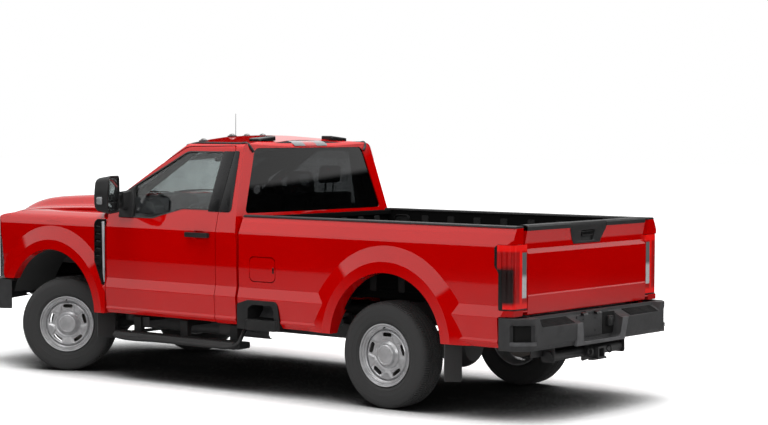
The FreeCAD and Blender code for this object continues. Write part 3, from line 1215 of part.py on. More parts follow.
def frame():
    """Ladder frame of two box rails, cross-members, body mounts and spring hangers."""
    y0 = RAIL_OUTER_Y - RAIL_WIDTH
    rail = along_y(rail_side(0), y0, RAIL_OUTER_Y)
    rail = rail.cut(along_y(rail_side(RAIL_WALL), y0 + RAIL_WALL, RAIL_OUTER_Y - RAIL_WALL))
    low = RAIL_BOTTOM_Z
    inner = y0 + 1
    cross = [rod(34, V(REAR_AXLE_X - 480, -inner, low + 215), V(REAR_AXLE_X - 480, inner, low + 215)),
             block(REAR_AXLE_X + 300, REAR_AXLE_X + 390, -inner, inner, low + 210, low + 270),
             rod(27, V(REAR_AXLE_X + 1500, -inner, low + 28), V(REAR_AXLE_X + 1500, inner, low + 28)),
             along_x([(-inner, low + 20), (-300, low - 30, 60), (300, low - 30, 60), (inner, low + 20),
                      (inner, low + 70), (280, low + 20, 60), (-280, low + 20, 60), (-inner, low + 70)],
                     FRONT_AXLE_X - 900, FRONT_AXLE_X - 800),
             block(FRONT_AXLE_X - 890, FRONT_AXLE_X - 810, -50, 50, low + 10,
                   GEARBOX_Z).cut(gearbox_case(SEAT_CLEAR)),
             block(FRONT_AXLE_X + 380, FRONT_AXLE_X + 470, -inner, inner, low + 150, low + 220)]
    hangers = []
    z_eye = AXLE_Z + LEAF_SEAT + 108
    leaf_side = LEAF_Y - LEAF_WIDTH / 2 - SEAT_CLEAR
    for s in (-1, 1):
        for dx in (-LEAF_REACH, LEAF_REACH):
            lift = 70 if dx < 0 else 0
            x = REAR_AXLE_X + dx
            hangers.append(block(x - 26, x + 26, min(s * (RAIL_OUTER_Y - 2), s * leaf_side),
                                 max(s * (RAIL_OUTER_Y - 2), s * leaf_side), z_eye - 30, z_eye + 60 + lift))
        seat_z = COIL_SEAT_Z + COIL_HEIGHT + SEAT_CLEAR
        towers = along_x([(s * (RAIL_OUTER_Y - 4), seat_z), (s * (COIL_Y + 76), seat_z, 10),
                          (s * (COIL_Y + 70), seat_z + 24, 10),
                          (s * (RAIL_OUTER_Y + 20), seat_z + 60, 20),
                          (s * (RAIL_OUTER_Y - 40), seat_z + 60, 10),
                          (s * (RAIL_OUTER_Y - 40), seat_z - 40), (s * (RAIL_OUTER_Y - 4), seat_z - 40)],
                         FRONT_AXLE_X - 80, FRONT_AXLE_X + 80)
        hangers.append(towers)
    mounts = []
    for x in (CAB_BACK_X + 180, DOOR_FRONT_X - 120):
        for s in (-1, 1):
            arm = block(x - 50, x + 50, min(s * (RAIL_OUTER_Y - 2), s * 620),
                        max(s * (RAIL_OUTER_Y - 2), s * 620), low + 110, low + 140)
            puck = rod(40, V(x, s * 570, low + 130), V(x, s * 570, CAB_FLOOR_Z - FLOOR_PAN - SEAT_CLEAR))
            mounts += [arm, puck]
    return fused(rail, mirrored(rail), *cross, *hangers, *mounts)


def hitch():
    """Trailer hitch: cross tube, drop plates and square receiver."""
    half = RECEIVER_INNER / 2
    outer = half + RECEIVER_WALL
    x0 = TAIL_X + 34
    x1 = x0 + 250
    z = RECEIVER_Z
    tube = block(x0, x1, -outer, outer, z - outer, z + outer)
    collar = block(x0, x0 + 26, -outer - 7, outer + 7, z - outer - 7, z + outer + 7)
    cross = rod(38, V(x0 + 150, -RAIL_OUTER_Y - 20, z), V(x0 + 150, RAIL_OUTER_Y + 20, z))
    plates = []
    for s in (-1, 1):
        plate = along_y([(x0 + 96, z - 44, 20), (x0 + 206, z - 44, 20),
                         (x0 + 250, RAIL_BOTTOM_Z + 120, 10), (x0 + 100, RAIL_BOTTOM_Z + 120, 10)],
                        s * (RAIL_OUTER_Y + SEAT_CLEAR), s * (RAIL_OUTER_Y + SEAT_CLEAR + 9))
        plates.append(plate)
    chain_plate = along_z([(x0 + 60, -110, 20), (x0 + 10, -96, 20), (x0 + 10, 96, 20),
                           (x0 + 60, 110, 20)], z - outer - 12, z - outer)
    loops = [Part.makeCylinder(15, 30, V(x0 + 34, s * 66, z - outer - 20)) for s in (-1, 1)]
    body = fused(tube, collar, cross, *plates, chain_plate.cut(loops))
    bore = block(x0 - 5, x1 + 5, -half, half, z - half, z + half)
    pin = rod(HITCH_PIN_RADIUS, V(x0 + 62, -200, z), V(x0 + 62, 200, z))
    return body.cut([bore, pin])


def engine_block():
    """Engine, as one plain block in its bay."""
    x = FRONT_AXLE_X
    return along_x([(-230, 560, 60), (230, 560, 60), (300, 860, 60), (300, 1120, 80), (-300, 1120, 80),
                    (-300, 860, 60)], x - 480, x + 250)


def gearbox_case(grow):
    """Round gearbox case behind the bell housing, grown by grow."""
    x = FRONT_AXLE_X - 480 - SEAT_CLEAR
    return rod(120 + grow, V(x - 200, 0, GEARBOX_Z), V(x - 760, 0, GEARBOX_Z))


def driveline():
    """Gearbox, transfer case and propeller shafts."""
    x = FRONT_AXLE_X - 480 - SEAT_CLEAR
    bell = Part.makeCone(200, 140, 220, V(x, 0, 610), V(-1, 0, 0))
    transfer = along_x([(-140, 520, 50), (216, 490, 50), (216, 590, 50), (80, 720, 60), (-140, 710, 60)],
                       x - 940, x - 740)
    rear_end = V(REAR_AXLE_X + 320 + SEAT_CLEAR, 0, AXLE_Z + 8)
    rear_joint = rear_end + V(60, 0, 0)
    rear_shaft = fused(rod(40, V(x - 930, 0, 600), rear_joint), Part.makeSphere(50, rear_joint),
                       rod(44, rear_joint, rear_end))
    front_end = V(FRONT_AXLE_X - 280 - SEAT_CLEAR, 250, AXLE_Z + 6)
    front_joint = front_end - V(50, 0, 0)
    front_shaft = fused(rod(28, V(x - 760, 176, 560), front_joint), Part.makeSphere(38, front_joint),
                        rod(32, front_joint, front_end))
    return fused(bell, gearbox_case(0), transfer, rear_shaft, front_shaft)


def exhaust():
    """Exhaust pipe, silencer and tail pipe on the right."""
    y = -330.0
    x0 = FRONT_AXLE_X - 700
    front = rod(32, V(x0, y, 545), V(x0 - 620, y, 545))
    body = along_x([(y - 50, 474, 55), (y + 110, 474, 55), (y + 110, 604, 55), (y - 50, 604, 55)],
                   x0 - 1340, x0 - 600)
    rail = RAIL_OUTER_Y - RAIL_WIDTH - SEAT_CLEAR
    hangers = [block(x, x + 40, -rail, y - 45, 530, 560) for x in (x0 - 1300, x0 - 700)]
    return fused(front, body, tail_pipe(), *hangers)


def tail_pipe():
    """Pipe that climbs over the rear axle and leaves behind the right rear wheel."""
    x0 = FRONT_AXLE_X - 2030
    points = [V(x0, -330, 545), V(REAR_AXLE_X + 420, -330, 560), V(REAR_AXLE_X + 170, -300, 640),
              V(REAR_AXLE_X - 300, -290, 600), V(REAR_AXLE_X - 520, -350, 452),
              V(REAR_AXLE_X - 660, -560, 446), V(REAR_AXLE_X - 830, -780, 450),
              V(REAR_AXLE_X - 900, -985, 474)]
    return bent_pipe(points, 32, 75)


def fuel_tank():
    """Fuel tank between the left rail and the propeller shaft."""
    x0 = REAR_AXLE_X + 520
    y1 = RAIL_OUTER_Y - RAIL_WIDTH - SEAT_CLEAR
    return along_x([(96, 452, 50), (y1, 452, 50), (y1, 700, 40), (96, 700, 40)], x0, BED_FRONT_X - 20)


def running_boards():
    """Stepped boards under the doors on their brackets."""
    x0 = DOOR_REAR_X - 250
    x1 = DOOR_FRONT_X - 60
    section = [(850, 338, 14), (1010, 330, 24), (1018, 356, 16), (1002, 388, 10), (856, 388, 10)]
    board = along_x(section, x0, x1)
    plan = along_z([(x0, 840), (x0 + 10, 960, 30), (x0 + 60, 1022, 40), (x1 - 60, 1022, 40),
                    (x1 - 4, 940, 30), (x1, 840)], 300, 420)
    board = board.common(plan)
    brackets = []
    for x in (x0 + 150, x0 + 700, x1 - 200):
        arm = along_x([(BOARD_MOUNT_Y, 470), (BOARD_MOUNT_Y, 520), (884, 520, 20), (884, 378),
                       (846, 350), (836, 470, 20)], x - 40, x + 40)
        brackets.append(arm)
    return both(fused(board, *brackets))


def side_steps():
    """Moulded steps let into the front lower corners of the bed sides."""
    x1 = BED_FRONT_X
    outer = along_y([(x1, SILL_Z - 24, 10), (x1, STEP_TOP_Z - 36),
                     (x1 - 110, STEP_TOP_Z - SEAT_CLEAR, 40),
                     (x1 - STEP_LENGTH + 2, STEP_TOP_Z - SEAT_CLEAR, 48),
                     (x1 - STEP_LENGTH - 30, SILL_Z - 24, 10)], 782, BAND_Y + 4)
    pocket = along_y([(x1 - 112, SILL_Z + 50, 16), (x1 - 112, STEP_TOP_Z - 62, 30),
                      (x1 - 160, STEP_TOP_Z - 34, 40), (x1 - STEP_LENGTH + 42, STEP_TOP_Z - 34, 40),
                      (x1 - STEP_LENGTH + 30, SILL_Z + 50, 16)], 822, BAND_Y + 30)
    tread = along_z([(x1 - 96, 900), (x1 - 96, BAND_Y + 10, 20), (x1 - 116, BAND_Y + 30, 20),
                     (x1 - STEP_LENGTH + 20, BAND_Y + 30, 20), (x1 - STEP_LENGTH, BAND_Y + 10, 20),
                     (x1 - STEP_LENGTH, 900)], SILL_Z - 24, SILL_Z + 50)
    return both(fused(outer.cut(pocket), tread))


def mud_flaps():
    """Flaps behind each wheel."""
    top = SILL_Z - SEAT_CLEAR
    rear = along_x([(800, 236, 20), (1010, 258, 20), (1010, top), (SIDE_Y - 60, top),
                    (BED_WALL_Y - 14, 620), (800, 620)], REAR_ARCH.x - REAR_ARCH_RADIUS - 34,
                   REAR_ARCH.x - REAR_ARCH_RADIUS - 26)
    front = along_x([(790, 300, 20), (986, 318, 20), (986, top), (SIDE_Y - FENDER_WALL - 5, top),
                     (SIDE_Y - FENDER_WALL - 5, 560), (790, 620)], FRONT_ARCH.x - FRONT_ARCH_RADIUS - 10,
                    FRONT_ARCH.x - FRONT_ARCH_RADIUS - 2)
    return Part.makeCompound([rear, mirrored(rear), front, mirrored(front)])


def liners():
    """Inner liners of the front arches."""
    c = FRONT_ARCH
    r = FRONT_ARCH_RADIUS + 22
    y0 = 505.0
    y1 = SIDE_Y - FENDER_WALL - SEAT_CLEAR
    ring = Part.makeCylinder(r, y1 - y0, V(c.x, y0, c.z), V(0, 1, 0)).cut(Part.makeCylinder(r - LINER,
                                                                                            y1 - y0,
                                                                                            V(c.x, y0,
                                                                                              c.z),
                                                                                            V(0, 1, 0)))
    ring = ring.common(block(c.x - 900, c.x + 900, 0, 1200, SILL_Z + 110, 1400))
    skirt = Part.makeCylinder(r, LINER, V(c.x, y0, c.z), V(0, 1, 0)).common(block(c.x - 900, c.x + 900, 0,
                                                                                  1200, 880, 1400))
    return both(fused(ring, skirt))


def dashboard():
    """Instrument panel with its binnacle and centre stack, and the steering column."""
    x = DOOR_FRONT_X - 36
    half = SIDE_Y - DOOR_THICKNESS - 26
    top = along_y([(x, 900, 40), (x, 1330, 40), (x - 60, 1356, 40), (x - 330, 1316, 60),
                   (x - 390, 1210, 60), (x - 340, 1010, 60), (x - 250, 900, 40)], -half, half)
    hood_box = along_y([(x - 330, 1250), (x - 200, 1330), (x - 300, 1372, 40), (x - 420, 1352, 20),
                        (x - 400, 1240, 20)], 190, 570)
    low = TUNNEL_TOP_Z + SEAT_CLEAR
    stack = along_x([(-150, low), (150, low), (170, 1290, 40), (-170, 1290, 40)], x - 430, x - 240)
    column = rod(34, COLUMN_END - STEERING_AXIS * 190, COLUMN_END)
    return fused(top, hood_box, stack, column)


def steering_wheel():
    """Steering wheel: rim, hub and three spokes."""
    rim = Part.makeTorus(STEERING_RADIUS, 15, STEERING_CENTRE, STEERING_AXIS)
    hub = Part.makeCylinder(72, 46, STEERING_CENTRE - STEERING_AXIS * 40, STEERING_AXIS)
    neck = Part.makeCylinder(28, 20, STEERING_CENTRE - STEERING_AXIS * (44 - SEAT_CLEAR), STEERING_AXIS)
    across = V(0, 1, 0)
    down = STEERING_AXIS.cross(across)
    if down.z > 0:
        down = down * -1
    spokes = [rod(13, STEERING_CENTRE - STEERING_AXIS * 12,
                  STEERING_CENTRE - STEERING_AXIS * 2 + d * (STEERING_RADIUS - 4))
              for d in (across, across * -1, down)]
    wheel_form = fused(rim, hub, neck, *spokes)
    wheel_form.rotate(STEERING_CENTRE, STEERING_AXIS, STEER_AT_REST * STEER_RATIO)
    return wheel_form


def seat(y0, y1):
    """One seat place: cushion, back and head restraint."""
    x = CAB_BACK_X + 300
    cushion = along_y([(x, 905, 30), (x + 500, 925, 30), (x + 520, 1010, 40), (x + 40, 985, 30)], y0, y1)
    back = along_y([(x + 10, 900, 20), (x + 130, 960, 40), (x + 30, 1560, 50), (x - 80, 1560, 50),
                    (x - 60, 1000, 40)], y0 + 10, y1 - 10)
    middle = (y0 + y1) / 2
    rest = along_y([(x - 66, 1600, 30), (x + 16, 1600, 30), (x - 8, 1770, 40), (x - 84, 1760, 30)],
                   middle - 125, middle + 125)
    posts = [rod(7, V(x - 26, middle + s * 50, 1540), V(x - 36, middle + s * 50, 1610)) for s in (-1, 1)]
    side = math.copysign(1, middle)
    base = block(x + 60, x + 440, min(side * 280, side * 680), max(side * 280, side * 680),
                 CAB_FLOOR_Z + SEAT_CLEAR, 930)
    return fused(cushion, back, rest, *posts, base)


def seats():
    """Split bench: two outer places and the folded centre place with its console."""
    x = CAB_BACK_X + 300
    middle = along_y([(x, 905, 30), (x + 470, 925, 26), (x + 480, 1000, 36), (x + 40, 985, 30)], -148, 148)
    backrest = along_y([(x - 30, 985, 20), (x + 110, 985, 40), (x + 30, 1500, 40), (x - 70, 1500, 40)],
                       -148, 148)
    legs = block(x + 60, x + 400, -110, 110, TUNNEL_TOP_Z + SEAT_CLEAR, 930)
    return Part.makeCompound([seat(170, 740), seat(-740, -170), fused(middle, backrest, legs)])


def roof_lamps():
    """Five clearance lamps over the windscreen, two rear warning pods and the stop lamp."""
    lamps = []
    for y in (-590, -190, 0, 190, 590):
        z = roof_height(y) - ROOF_FRONT_DROP
        x = SCREEN_TOP_X - 50 - screen_sag(y)
        lamps.append(along_y([(x - 48, z - 40), (x + 44, z - 40), (x + 34, z + 8, 14),
                              (x - 8, z + 30, 16), (x - 42, z + 28, 12)], y - 27, y + 27))
    for y in (-450, 450):
        z = roof_height(y)
        x = CAB_BACK_X + 200
        lamps.append(along_y([(x - 54, z - 30), (x + 64, z - 30), (x + 54, z + 12, 8),
                              (x - 48, z + 20, 10)], y - 104, y + 104))
    return lamps


def roof_height(y):
    """Height of the roof's crown at y."""
    share = (y / (ROOF_EDGE_Y - 40)) ** 2
    return ROOF_Z - share * (ROOF_Z - ROOF_EDGE_Z) * 0.86


def seated_lamps():
    """Roof lamps trimmed to sit on the roof skin."""
    skin = cab_body(0, SILL_Z, 0)
    lift = V(0, 0, SEAT_CLEAR)
    skin.translate(lift)
    return Part.makeCompound([lamp.cut(skin).Solids[0] for lamp in roof_lamps()])


def stop_lamp():
    """High stop lamp on the back edge of the roof."""
    skin = cab_body(0, SILL_Z, 0)
    skin.translate(V(-SEAT_CLEAR, 0, SEAT_CLEAR))
    z = STOP_LAMP_Z
    lens = along_x([(-222, z - 20, 14), (222, z - 20, 14), (196, z + 20, 16), (-196, z + 20, 16)],
                   CAB_BACK_X - 60, CAB_BACK_X + 200)
    proud = cab_body(-STOP_LAMP_RISE, SILL_Z, 0)
    return largest(lens.common(proud).cut(skin))


def antenna():
    """Whip aerial on the right front fender."""
    y = -(HOOD_SIDE_Y + 60)
    z = FENDER_TOP_Z - 20
    base = Part.makeCone(26, 12, 54, V(ANTENNA_X, y, z))
    whip = Part.makeCone(4, 2, ANTENNA_TOP_Z - z - 50, V(ANTENNA_X, y, z + 50))
    skin = mirrored(along_x(fender_section(), FENDER_REAR_X, FENDER_FRONT_X))
    skin.translate(V(0, 0, SEAT_CLEAR))
    return fused(base, whip).cut(skin)


def save(name, shape):
    """Write one node."""
    shape.exportStep(os.path.join("parts", name + ".step"))
    good = shape.isValid() and all(s.isClosed() and s.Volume > 0 for s in shape.Solids)
    print(f"{name:20s} solids {len(shape.Solids)} ok {good} faces {len(shape.Faces)}")


def wheel_places():
    """Name, x, y and side of each wheel."""
    return [("front_left", FRONT_AXLE_X, FRONT_TRACK / 2, 1),
            ("front_right", FRONT_AXLE_X, -FRONT_TRACK / 2, -1),
            ("rear_left", REAR_AXLE_X, REAR_TRACK / 2, 1),
            ("rear_right", REAR_AXLE_X, -REAR_TRACK / 2, -1)]


def main():
    """Build and write every node."""
    os.makedirs("parts", exist_ok=True)
    single = {
        "frame": frame, "hitch": hitch, "engine_block": engine_block, "driveline": driveline,
        "exhaust": exhaust, "fuel_tank": fuel_tank, "front_axle": front_axle, "rear_axle": rear_axle,
        "springs": springs, "tie_rod": tie_rod, "cab": cab, "cab_glass": cab_glass,
        "dashboard": dashboard, "steering_wheel": steering_wheel, "seats": seats,
        "roof_lamps": seated_lamps, "antenna": antenna, "hood": hood, "grille": grille,
        "radiator": radiator, "head_lamps": head_lamps, "front_bumper": front_bumper,
        "fenders": fenders, "fender_vents": fender_vents, "front_liners": liners,
        "running_boards": running_boards, "bed_floor": bed_floor, "bed_front_wall": bed_front_wall,
        "bed_sides": bed_sides, "rail_caps": rail_caps, "side_steps": side_steps,
        "tail_lamps": tail_lamps, "rear_bumper": rear_bumper, "mud_flaps": mud_flaps,
        "tailgate": tailgate, "tailgate_handle": tailgate_handle, "fuel_door": fuel_door,
    }
    for name, make in single.items():
        save(name, make())
    handed = {"door": door, "door_glass": door_glass, "door_handle": door_handle, "mirror": mirror}
    for name, make in handed.items():
        left = make()
        save(name + "_left", left)
        save(name + "_right", mirrored(left))
    save("knuckle_right", steered(mirrored(knuckle()), -1))
    save("knuckle_left", steered(knuckle(), 1))
    for name, x, y, side in wheel_places():
        for kind, shape in (("tyre_", tyre(x, y)), ("wheel_", wheel(x, y, side))):
            save(kind + name, steered(shape, side) if x == FRONT_AXLE_X else shape)


main()
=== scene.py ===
"""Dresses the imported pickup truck: finishes, trim, wheels, lamps, seats and a plain studio."""

import json
import math

import bpy
from bpy.props import FloatProperty, FloatVectorProperty, PointerProperty
from bpy.types import Operator, Panel, PropertyGroup
from mathutils import Matrix, Vector


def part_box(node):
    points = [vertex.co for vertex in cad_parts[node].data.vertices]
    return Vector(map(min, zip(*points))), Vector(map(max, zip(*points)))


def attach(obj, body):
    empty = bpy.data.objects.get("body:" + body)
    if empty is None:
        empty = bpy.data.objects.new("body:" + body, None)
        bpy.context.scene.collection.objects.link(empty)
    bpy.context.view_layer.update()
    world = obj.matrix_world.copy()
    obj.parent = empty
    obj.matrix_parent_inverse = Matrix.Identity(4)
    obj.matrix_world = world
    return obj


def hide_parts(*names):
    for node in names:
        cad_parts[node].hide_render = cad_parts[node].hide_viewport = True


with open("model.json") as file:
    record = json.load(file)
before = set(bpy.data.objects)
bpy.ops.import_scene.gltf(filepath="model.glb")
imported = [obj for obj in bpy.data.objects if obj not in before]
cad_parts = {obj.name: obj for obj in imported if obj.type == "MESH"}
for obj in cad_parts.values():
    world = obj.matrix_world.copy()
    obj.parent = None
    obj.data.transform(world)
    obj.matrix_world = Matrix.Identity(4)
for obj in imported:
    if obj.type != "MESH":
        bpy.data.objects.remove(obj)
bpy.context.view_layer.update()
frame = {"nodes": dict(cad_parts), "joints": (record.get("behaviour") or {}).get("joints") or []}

bl_info = {
    "name": "Pickup Truck Dressing",
    "version": (1, 0, 0),
    "blender": (4, 5, 0),
    "location": "View3D > Sidebar > Pickup",
    "description": "Finishes, trim, wheels, lamps and seats for a pickup truck, with its studio",
    "category": "Object",
}

NODES = frame["nodes"]
JOINTS = {joint["name"]: joint for joint in frame["joints"]}
WHEELS = ("front_left", "front_right", "rear_left", "rear_right")

BED_REAR_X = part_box("rail_caps")[0].x - 0.004
CAB_BACK_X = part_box("cab")[0].x

# Side of the cab: upright to the shoulder, then leaning in, more so over the belt
SIDE_Y = 0.989
SIDE_LEAN = 0.23
BELT_Y = 0.959
BELT_Z = 1.38
GLASS_LEAN = 0.296

# Windscreen: its foot, its slope and the divisor of its bow across the truck
SCREEN_FOOT_X = 1.598
SCREEN_FOOT_Z = 1.462
SCREEN_SLOPE = 1.72
SCREEN_BOW = 5.8

ABOVE_ROOF_Z = 2.3
WINDOW_MIDDLE_Z = 1.655


# Settings

class TruckPaint(PropertyGroup):
    """Colours and finishes of the truck."""
    body: FloatVectorProperty(name="Body colour", description="Colour of the painted panels",
                              subtype="COLOR", size=3, default=(0.505, 0.0004, 0.0004))
    coat: FloatProperty(name="Clear coat", description="How much clear lacquer covers the paint",
                        subtype="FACTOR", default=1.0, min=0.0, max=1.0)
    peel: FloatProperty(name="Orange peel", description="Depth of the ripple in the lacquer",
                        default=0.02, min=0.0, max=1.0)
    trim: FloatVectorProperty(name="Trim colour", description="Colour of the grained black mouldings",
                              subtype="COLOR", size=3, default=(0.011, 0.0112, 0.0115))
    wheel: FloatVectorProperty(name="Wheel colour", description="Colour of the painted steel wheels",
                               subtype="COLOR", size=3, default=(0.44, 0.44, 0.45))
    rubber: FloatVectorProperty(name="Tyre colour", description="Colour of the tyre rubber",
                                subtype="COLOR", size=3, default=(0.0075, 0.0075, 0.0077))
    dust: FloatProperty(name="Road dust", description="Strength of the dust low on the truck",
                        subtype="FACTOR", default=0.08, min=0.0, max=1.0)


class TruckStudio(PropertyGroup):
    """Camera, lamps and floor."""
    camera_at: FloatVectorProperty(name="Camera place", description="Where the camera stands",
                                   subtype="TRANSLATION", unit="LENGTH", size=3,
                                   default=(-10.5406, 12.1406, 2.103))
    azimuth: FloatProperty(name="Azimuth", description="Heading of the view, from +X towards +Y",
                           subtype="ANGLE", default=math.radians(-51.412))
    elevation: FloatProperty(name="Elevation", description="Tilt of the view above the horizon",
                             subtype="ANGLE", default=math.radians(-2.586))
    roll: FloatProperty(name="Roll", description="Turn of the picture about the view",
                        subtype="ANGLE", default=math.radians(0.187))
    lens: FloatProperty(name="Lens", description="Focal length in millimetres on a 36 mm sensor",
                        default=90.97, min=20.0, max=300.0)
    key: FloatProperty(name="Overhead power", description="Power of the overhead soft lamp in watts",
                       default=520.0, min=0.0)
    side: FloatProperty(name="Side power", description="Power of the lamp on the camera's side",
                        default=160.0, min=0.0)
    rear: FloatProperty(name="Rear power", description="Power of the lamp behind the tailgate",
                        default=100.0, min=0.0)
    sky: FloatProperty(name="Surround", description="Strength of the even light from all round",
                       default=0.5, min=0.0, max=1.0)
    spread: FloatProperty(name="Floor size", description="Width of the floor",
                          unit="LENGTH", default=160.0, min=10.0)


# Modelling

def settle():
    """Object mode, with nothing selected."""
    if bpy.context.object and bpy.context.object.mode != "OBJECT":
        bpy.ops.object.mode_set(mode="OBJECT")
    bpy.ops.object.select_all(action="DESELECT")


def take(*pieces):
    """Select pieces alone, the first of them active."""
    settle()
    for piece in pieces:
        piece.select_set(True)
    bpy.context.view_layer.objects.active = pieces[0]


def edit_all(piece):
    """Edit mode on one piece with all of it selected."""
    take(piece)
    bpy.ops.object.mode_set(mode="EDIT")
    bpy.ops.mesh.select_mode(type="VERT")
    bpy.ops.mesh.select_all(action="SELECT")


def pick(piece, test):
    """Edit mode on one piece with only the faces that pass test(centre, normal) selected."""
    take(piece)
    bpy.ops.object.mode_set(mode="EDIT")
    bpy.ops.mesh.select_mode(type="FACE")
    bpy.ops.mesh.select_all(action="DESELECT")
    bpy.ops.object.mode_set(mode="OBJECT")
    for face in piece.data.polygons:
        face.select = bool(test(face.center, face.normal))
    bpy.ops.object.mode_set(mode="EDIT")


def outward(piece):
    """Merge the piece's doubles and turn its faces outwards."""
    edit_all(piece)
    bpy.ops.mesh.remove_doubles(threshold=0.00002)
    bpy.ops.mesh.normals_make_consistent(inside=False)
    settle()


def seat(piece):
    """Put the piece's place, turn and scale into its mesh."""
    take(piece)
    bpy.ops.object.transform_apply(location=True, rotation=True, scale=True)
    settle()


def finish(piece, name, finish_name, body="chassis", slot=None, angle=35.0, bevel=0.0, segments=2):
    """Bevel, shade, name and colour a piece, and let it ride on its body."""
    if bevel:
        softened(piece, bevel, segments)
    take(piece)
    bpy.ops.object.shade_smooth_by_angle(angle=math.radians(angle))
    settle()
    piece.name = name
    piece.data.name = name
    piece.data.materials.clear()
    piece.data.materials.append(surface(finish_name))
    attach(piece, body)
    return piece


def rounded(points, steps=5):
    """Outline corners (u, v) or (u, v, radius), with each round as steps + 1 points."""
    found = []
    for i, point in enumerate(points):
        here = Vector(point[:2])
        if len(point) < 3 or not point[2]:
            found.append(tuple(here))
            continue
        back = (Vector(points[i - 1][:2]) - here).normalized()
        ahead = (Vector(points[(i + 1) % len(points)][:2]) - here).normalized()
        half = back.angle(ahead) / 2
        run = point[2] / math.tan(half)
        centre = here + (back + ahead).normalized() * point[2] / math.sin(half)
        start = here + back * run - centre
        turn = (here + ahead * run - centre).angle_signed(start)
        for step in range(steps + 1):
            angle = turn * step / steps
            spoke = Vector((start.x * math.cos(angle) - start.y * math.sin(angle),
                            start.x * math.sin(angle) + start.y * math.cos(angle)))
            found.append(tuple(centre + spoke))
    return found


AXES = {
    "X": lambda at, u, v: (at, u, v),
    "Y": lambda at, u, v: (u, at, v),
    "Z": lambda at, u, v: (u, v, at),
}


def flat(points, axis, start):
    """Face of an outline across an axis, in edit mode."""
    settle()
    bpy.ops.mesh.primitive_circle_add(vertices=len(points), fill_type="NGON")
    piece = bpy.context.object
    for corner, (u, v) in zip(piece.data.vertices, points):
        corner.co = AXES[axis](start, u, v)
    edit_all(piece)
    return piece


def thickened(piece, axis, depth):
    """Draw the selected faces out along an axis and leave edit mode."""
    bpy.ops.mesh.extrude_region_move(TRANSFORM_OT_translate={"value": AXES[axis](depth, 0, 0)})
    bpy.ops.mesh.select_all(action="SELECT")
    bpy.ops.mesh.normals_make_consistent(inside=False)
    settle()
    return piece


def plate(points, axis, start, depth):
    """Solid of a flat outline across an axis, from start through depth."""
    return thickened(flat(points, axis, start), axis, depth)


def slab(corners, axis, start, depth, steps=5):
    """Plate with rounded corners."""
    return plate(rounded(corners, steps), axis, start, depth)


def square(u0, v0, u1, v1, radius):
    """Corners of an upright rectangle, all with one radius."""
    return [(u0, v0, radius), (u1, v0, radius), (u1, v1, radius), (u0, v1, radius)]


def brick(low, high):
    """Box between two corners, as a start for shaping."""
    settle()
    bpy.ops.mesh.primitive_cube_add(size=1)
    piece = bpy.context.object
    low, high = Vector(low), Vector(high)
    piece.location = (low + high) / 2
    piece.scale = high - low
    seat(piece)
    return piece


def turned(section, centre, axis="Y", steps=72, closed=True):
    """Solid of a section of (along, radius) points spun about a line through centre."""
    settle()
    bpy.ops.mesh.primitive_circle_add(vertices=len(section), fill_type="NOTHING")
    piece = bpy.context.object
    centre = Vector(centre)
    for corner, (along, radius) in zip(piece.data.vertices, section):
        out = {"X": (along, 0, radius), "Y": (0, along, radius), "Z": (radius, 0, along)}[axis]
        corner.co = centre + Vector(out)
    edit_all(piece)
    line = {"X": (1, 0, 0), "Y": (0, 1, 0), "Z": (0, 0, 1)}[axis]
    bpy.ops.mesh.spin(steps=steps, angle=math.tau, center=centre, axis=line)
    settle()
    outward(piece)
    return piece


def bar(start, end, radius, sides=20):
    """Round bar between two points."""
    settle()
    start, end = Vector(start), Vector(end)
    run = end - start
    bpy.ops.mesh.primitive_cylinder_add(vertices=sides, radius=radius, depth=run.length,
                                        location=(start + end) / 2)
    piece = bpy.context.object
    piece.rotation_euler = run.to_track_quat("Z", "Y").to_euler()
    seat(piece)
    return piece


def pipe(points, radius, closed=False, sides=8):
    """Tube along a smooth line through points, made a mesh."""
    settle()
    bpy.ops.curve.primitive_bezier_curve_add()
    piece = bpy.context.object
    line = piece.data
    line.dimensions = "3D"
    line.splines.clear()
    spline = line.splines.new("BEZIER")
    spline.bezier_points.add(len(points) - 1)
    for knot, point in zip(spline.bezier_points, points):
        knot.co = point
        knot.handle_left_type = knot.handle_right_type = "AUTO"
    spline.use_cyclic_u = closed
    line.bevel_depth = radius
    line.bevel_resolution = max(1, sides // 4)
    line.resolution_u = 8
    line.use_fill_caps = True
    take(piece)
    bpy.ops.object.convert(target="MESH")
    piece = bpy.context.object
    outward(piece)
    return piece


def joined(*pieces):
    """One object of several pieces."""
    take(*pieces)
    bpy.ops.object.join()
    piece = bpy.context.object
    settle()
    return piece


def twin(piece):
    """Copy of a piece with a mesh of its own."""
    take(piece)
    bpy.ops.object.duplicate(linked=False)
    copy = bpy.context.object
    settle()
    return copy


def mirrored(piece):
    """Copy of a piece on the other side of the truck."""
    copy = twin(piece)
    take(copy)
    copy.scale = (1, -1, 1)
    seat(copy)
    edit_all(copy)
    bpy.ops.mesh.normals_make_consistent(inside=False)
    settle()
    return copy


def modified(piece, kind, **values):
    """Add a modifier with its settings, and apply it."""
    take(piece)
    bpy.ops.object.modifier_add(type=kind)
    modifier = piece.modifiers[-1]
    for name, value in values.items():
        setattr(modifier, name, value)
    bpy.ops.object.modifier_apply(modifier=modifier.name)
    settle()
    return piece


def cut(piece, *cutters):
    """Take the cutters' space out of a piece."""
    for cutter in cutters:
        modified(piece, "BOOLEAN", operation="DIFFERENCE", object=cutter, solver="EXACT")
        bpy.data.objects.remove(cutter, do_unlink=True)
    return piece


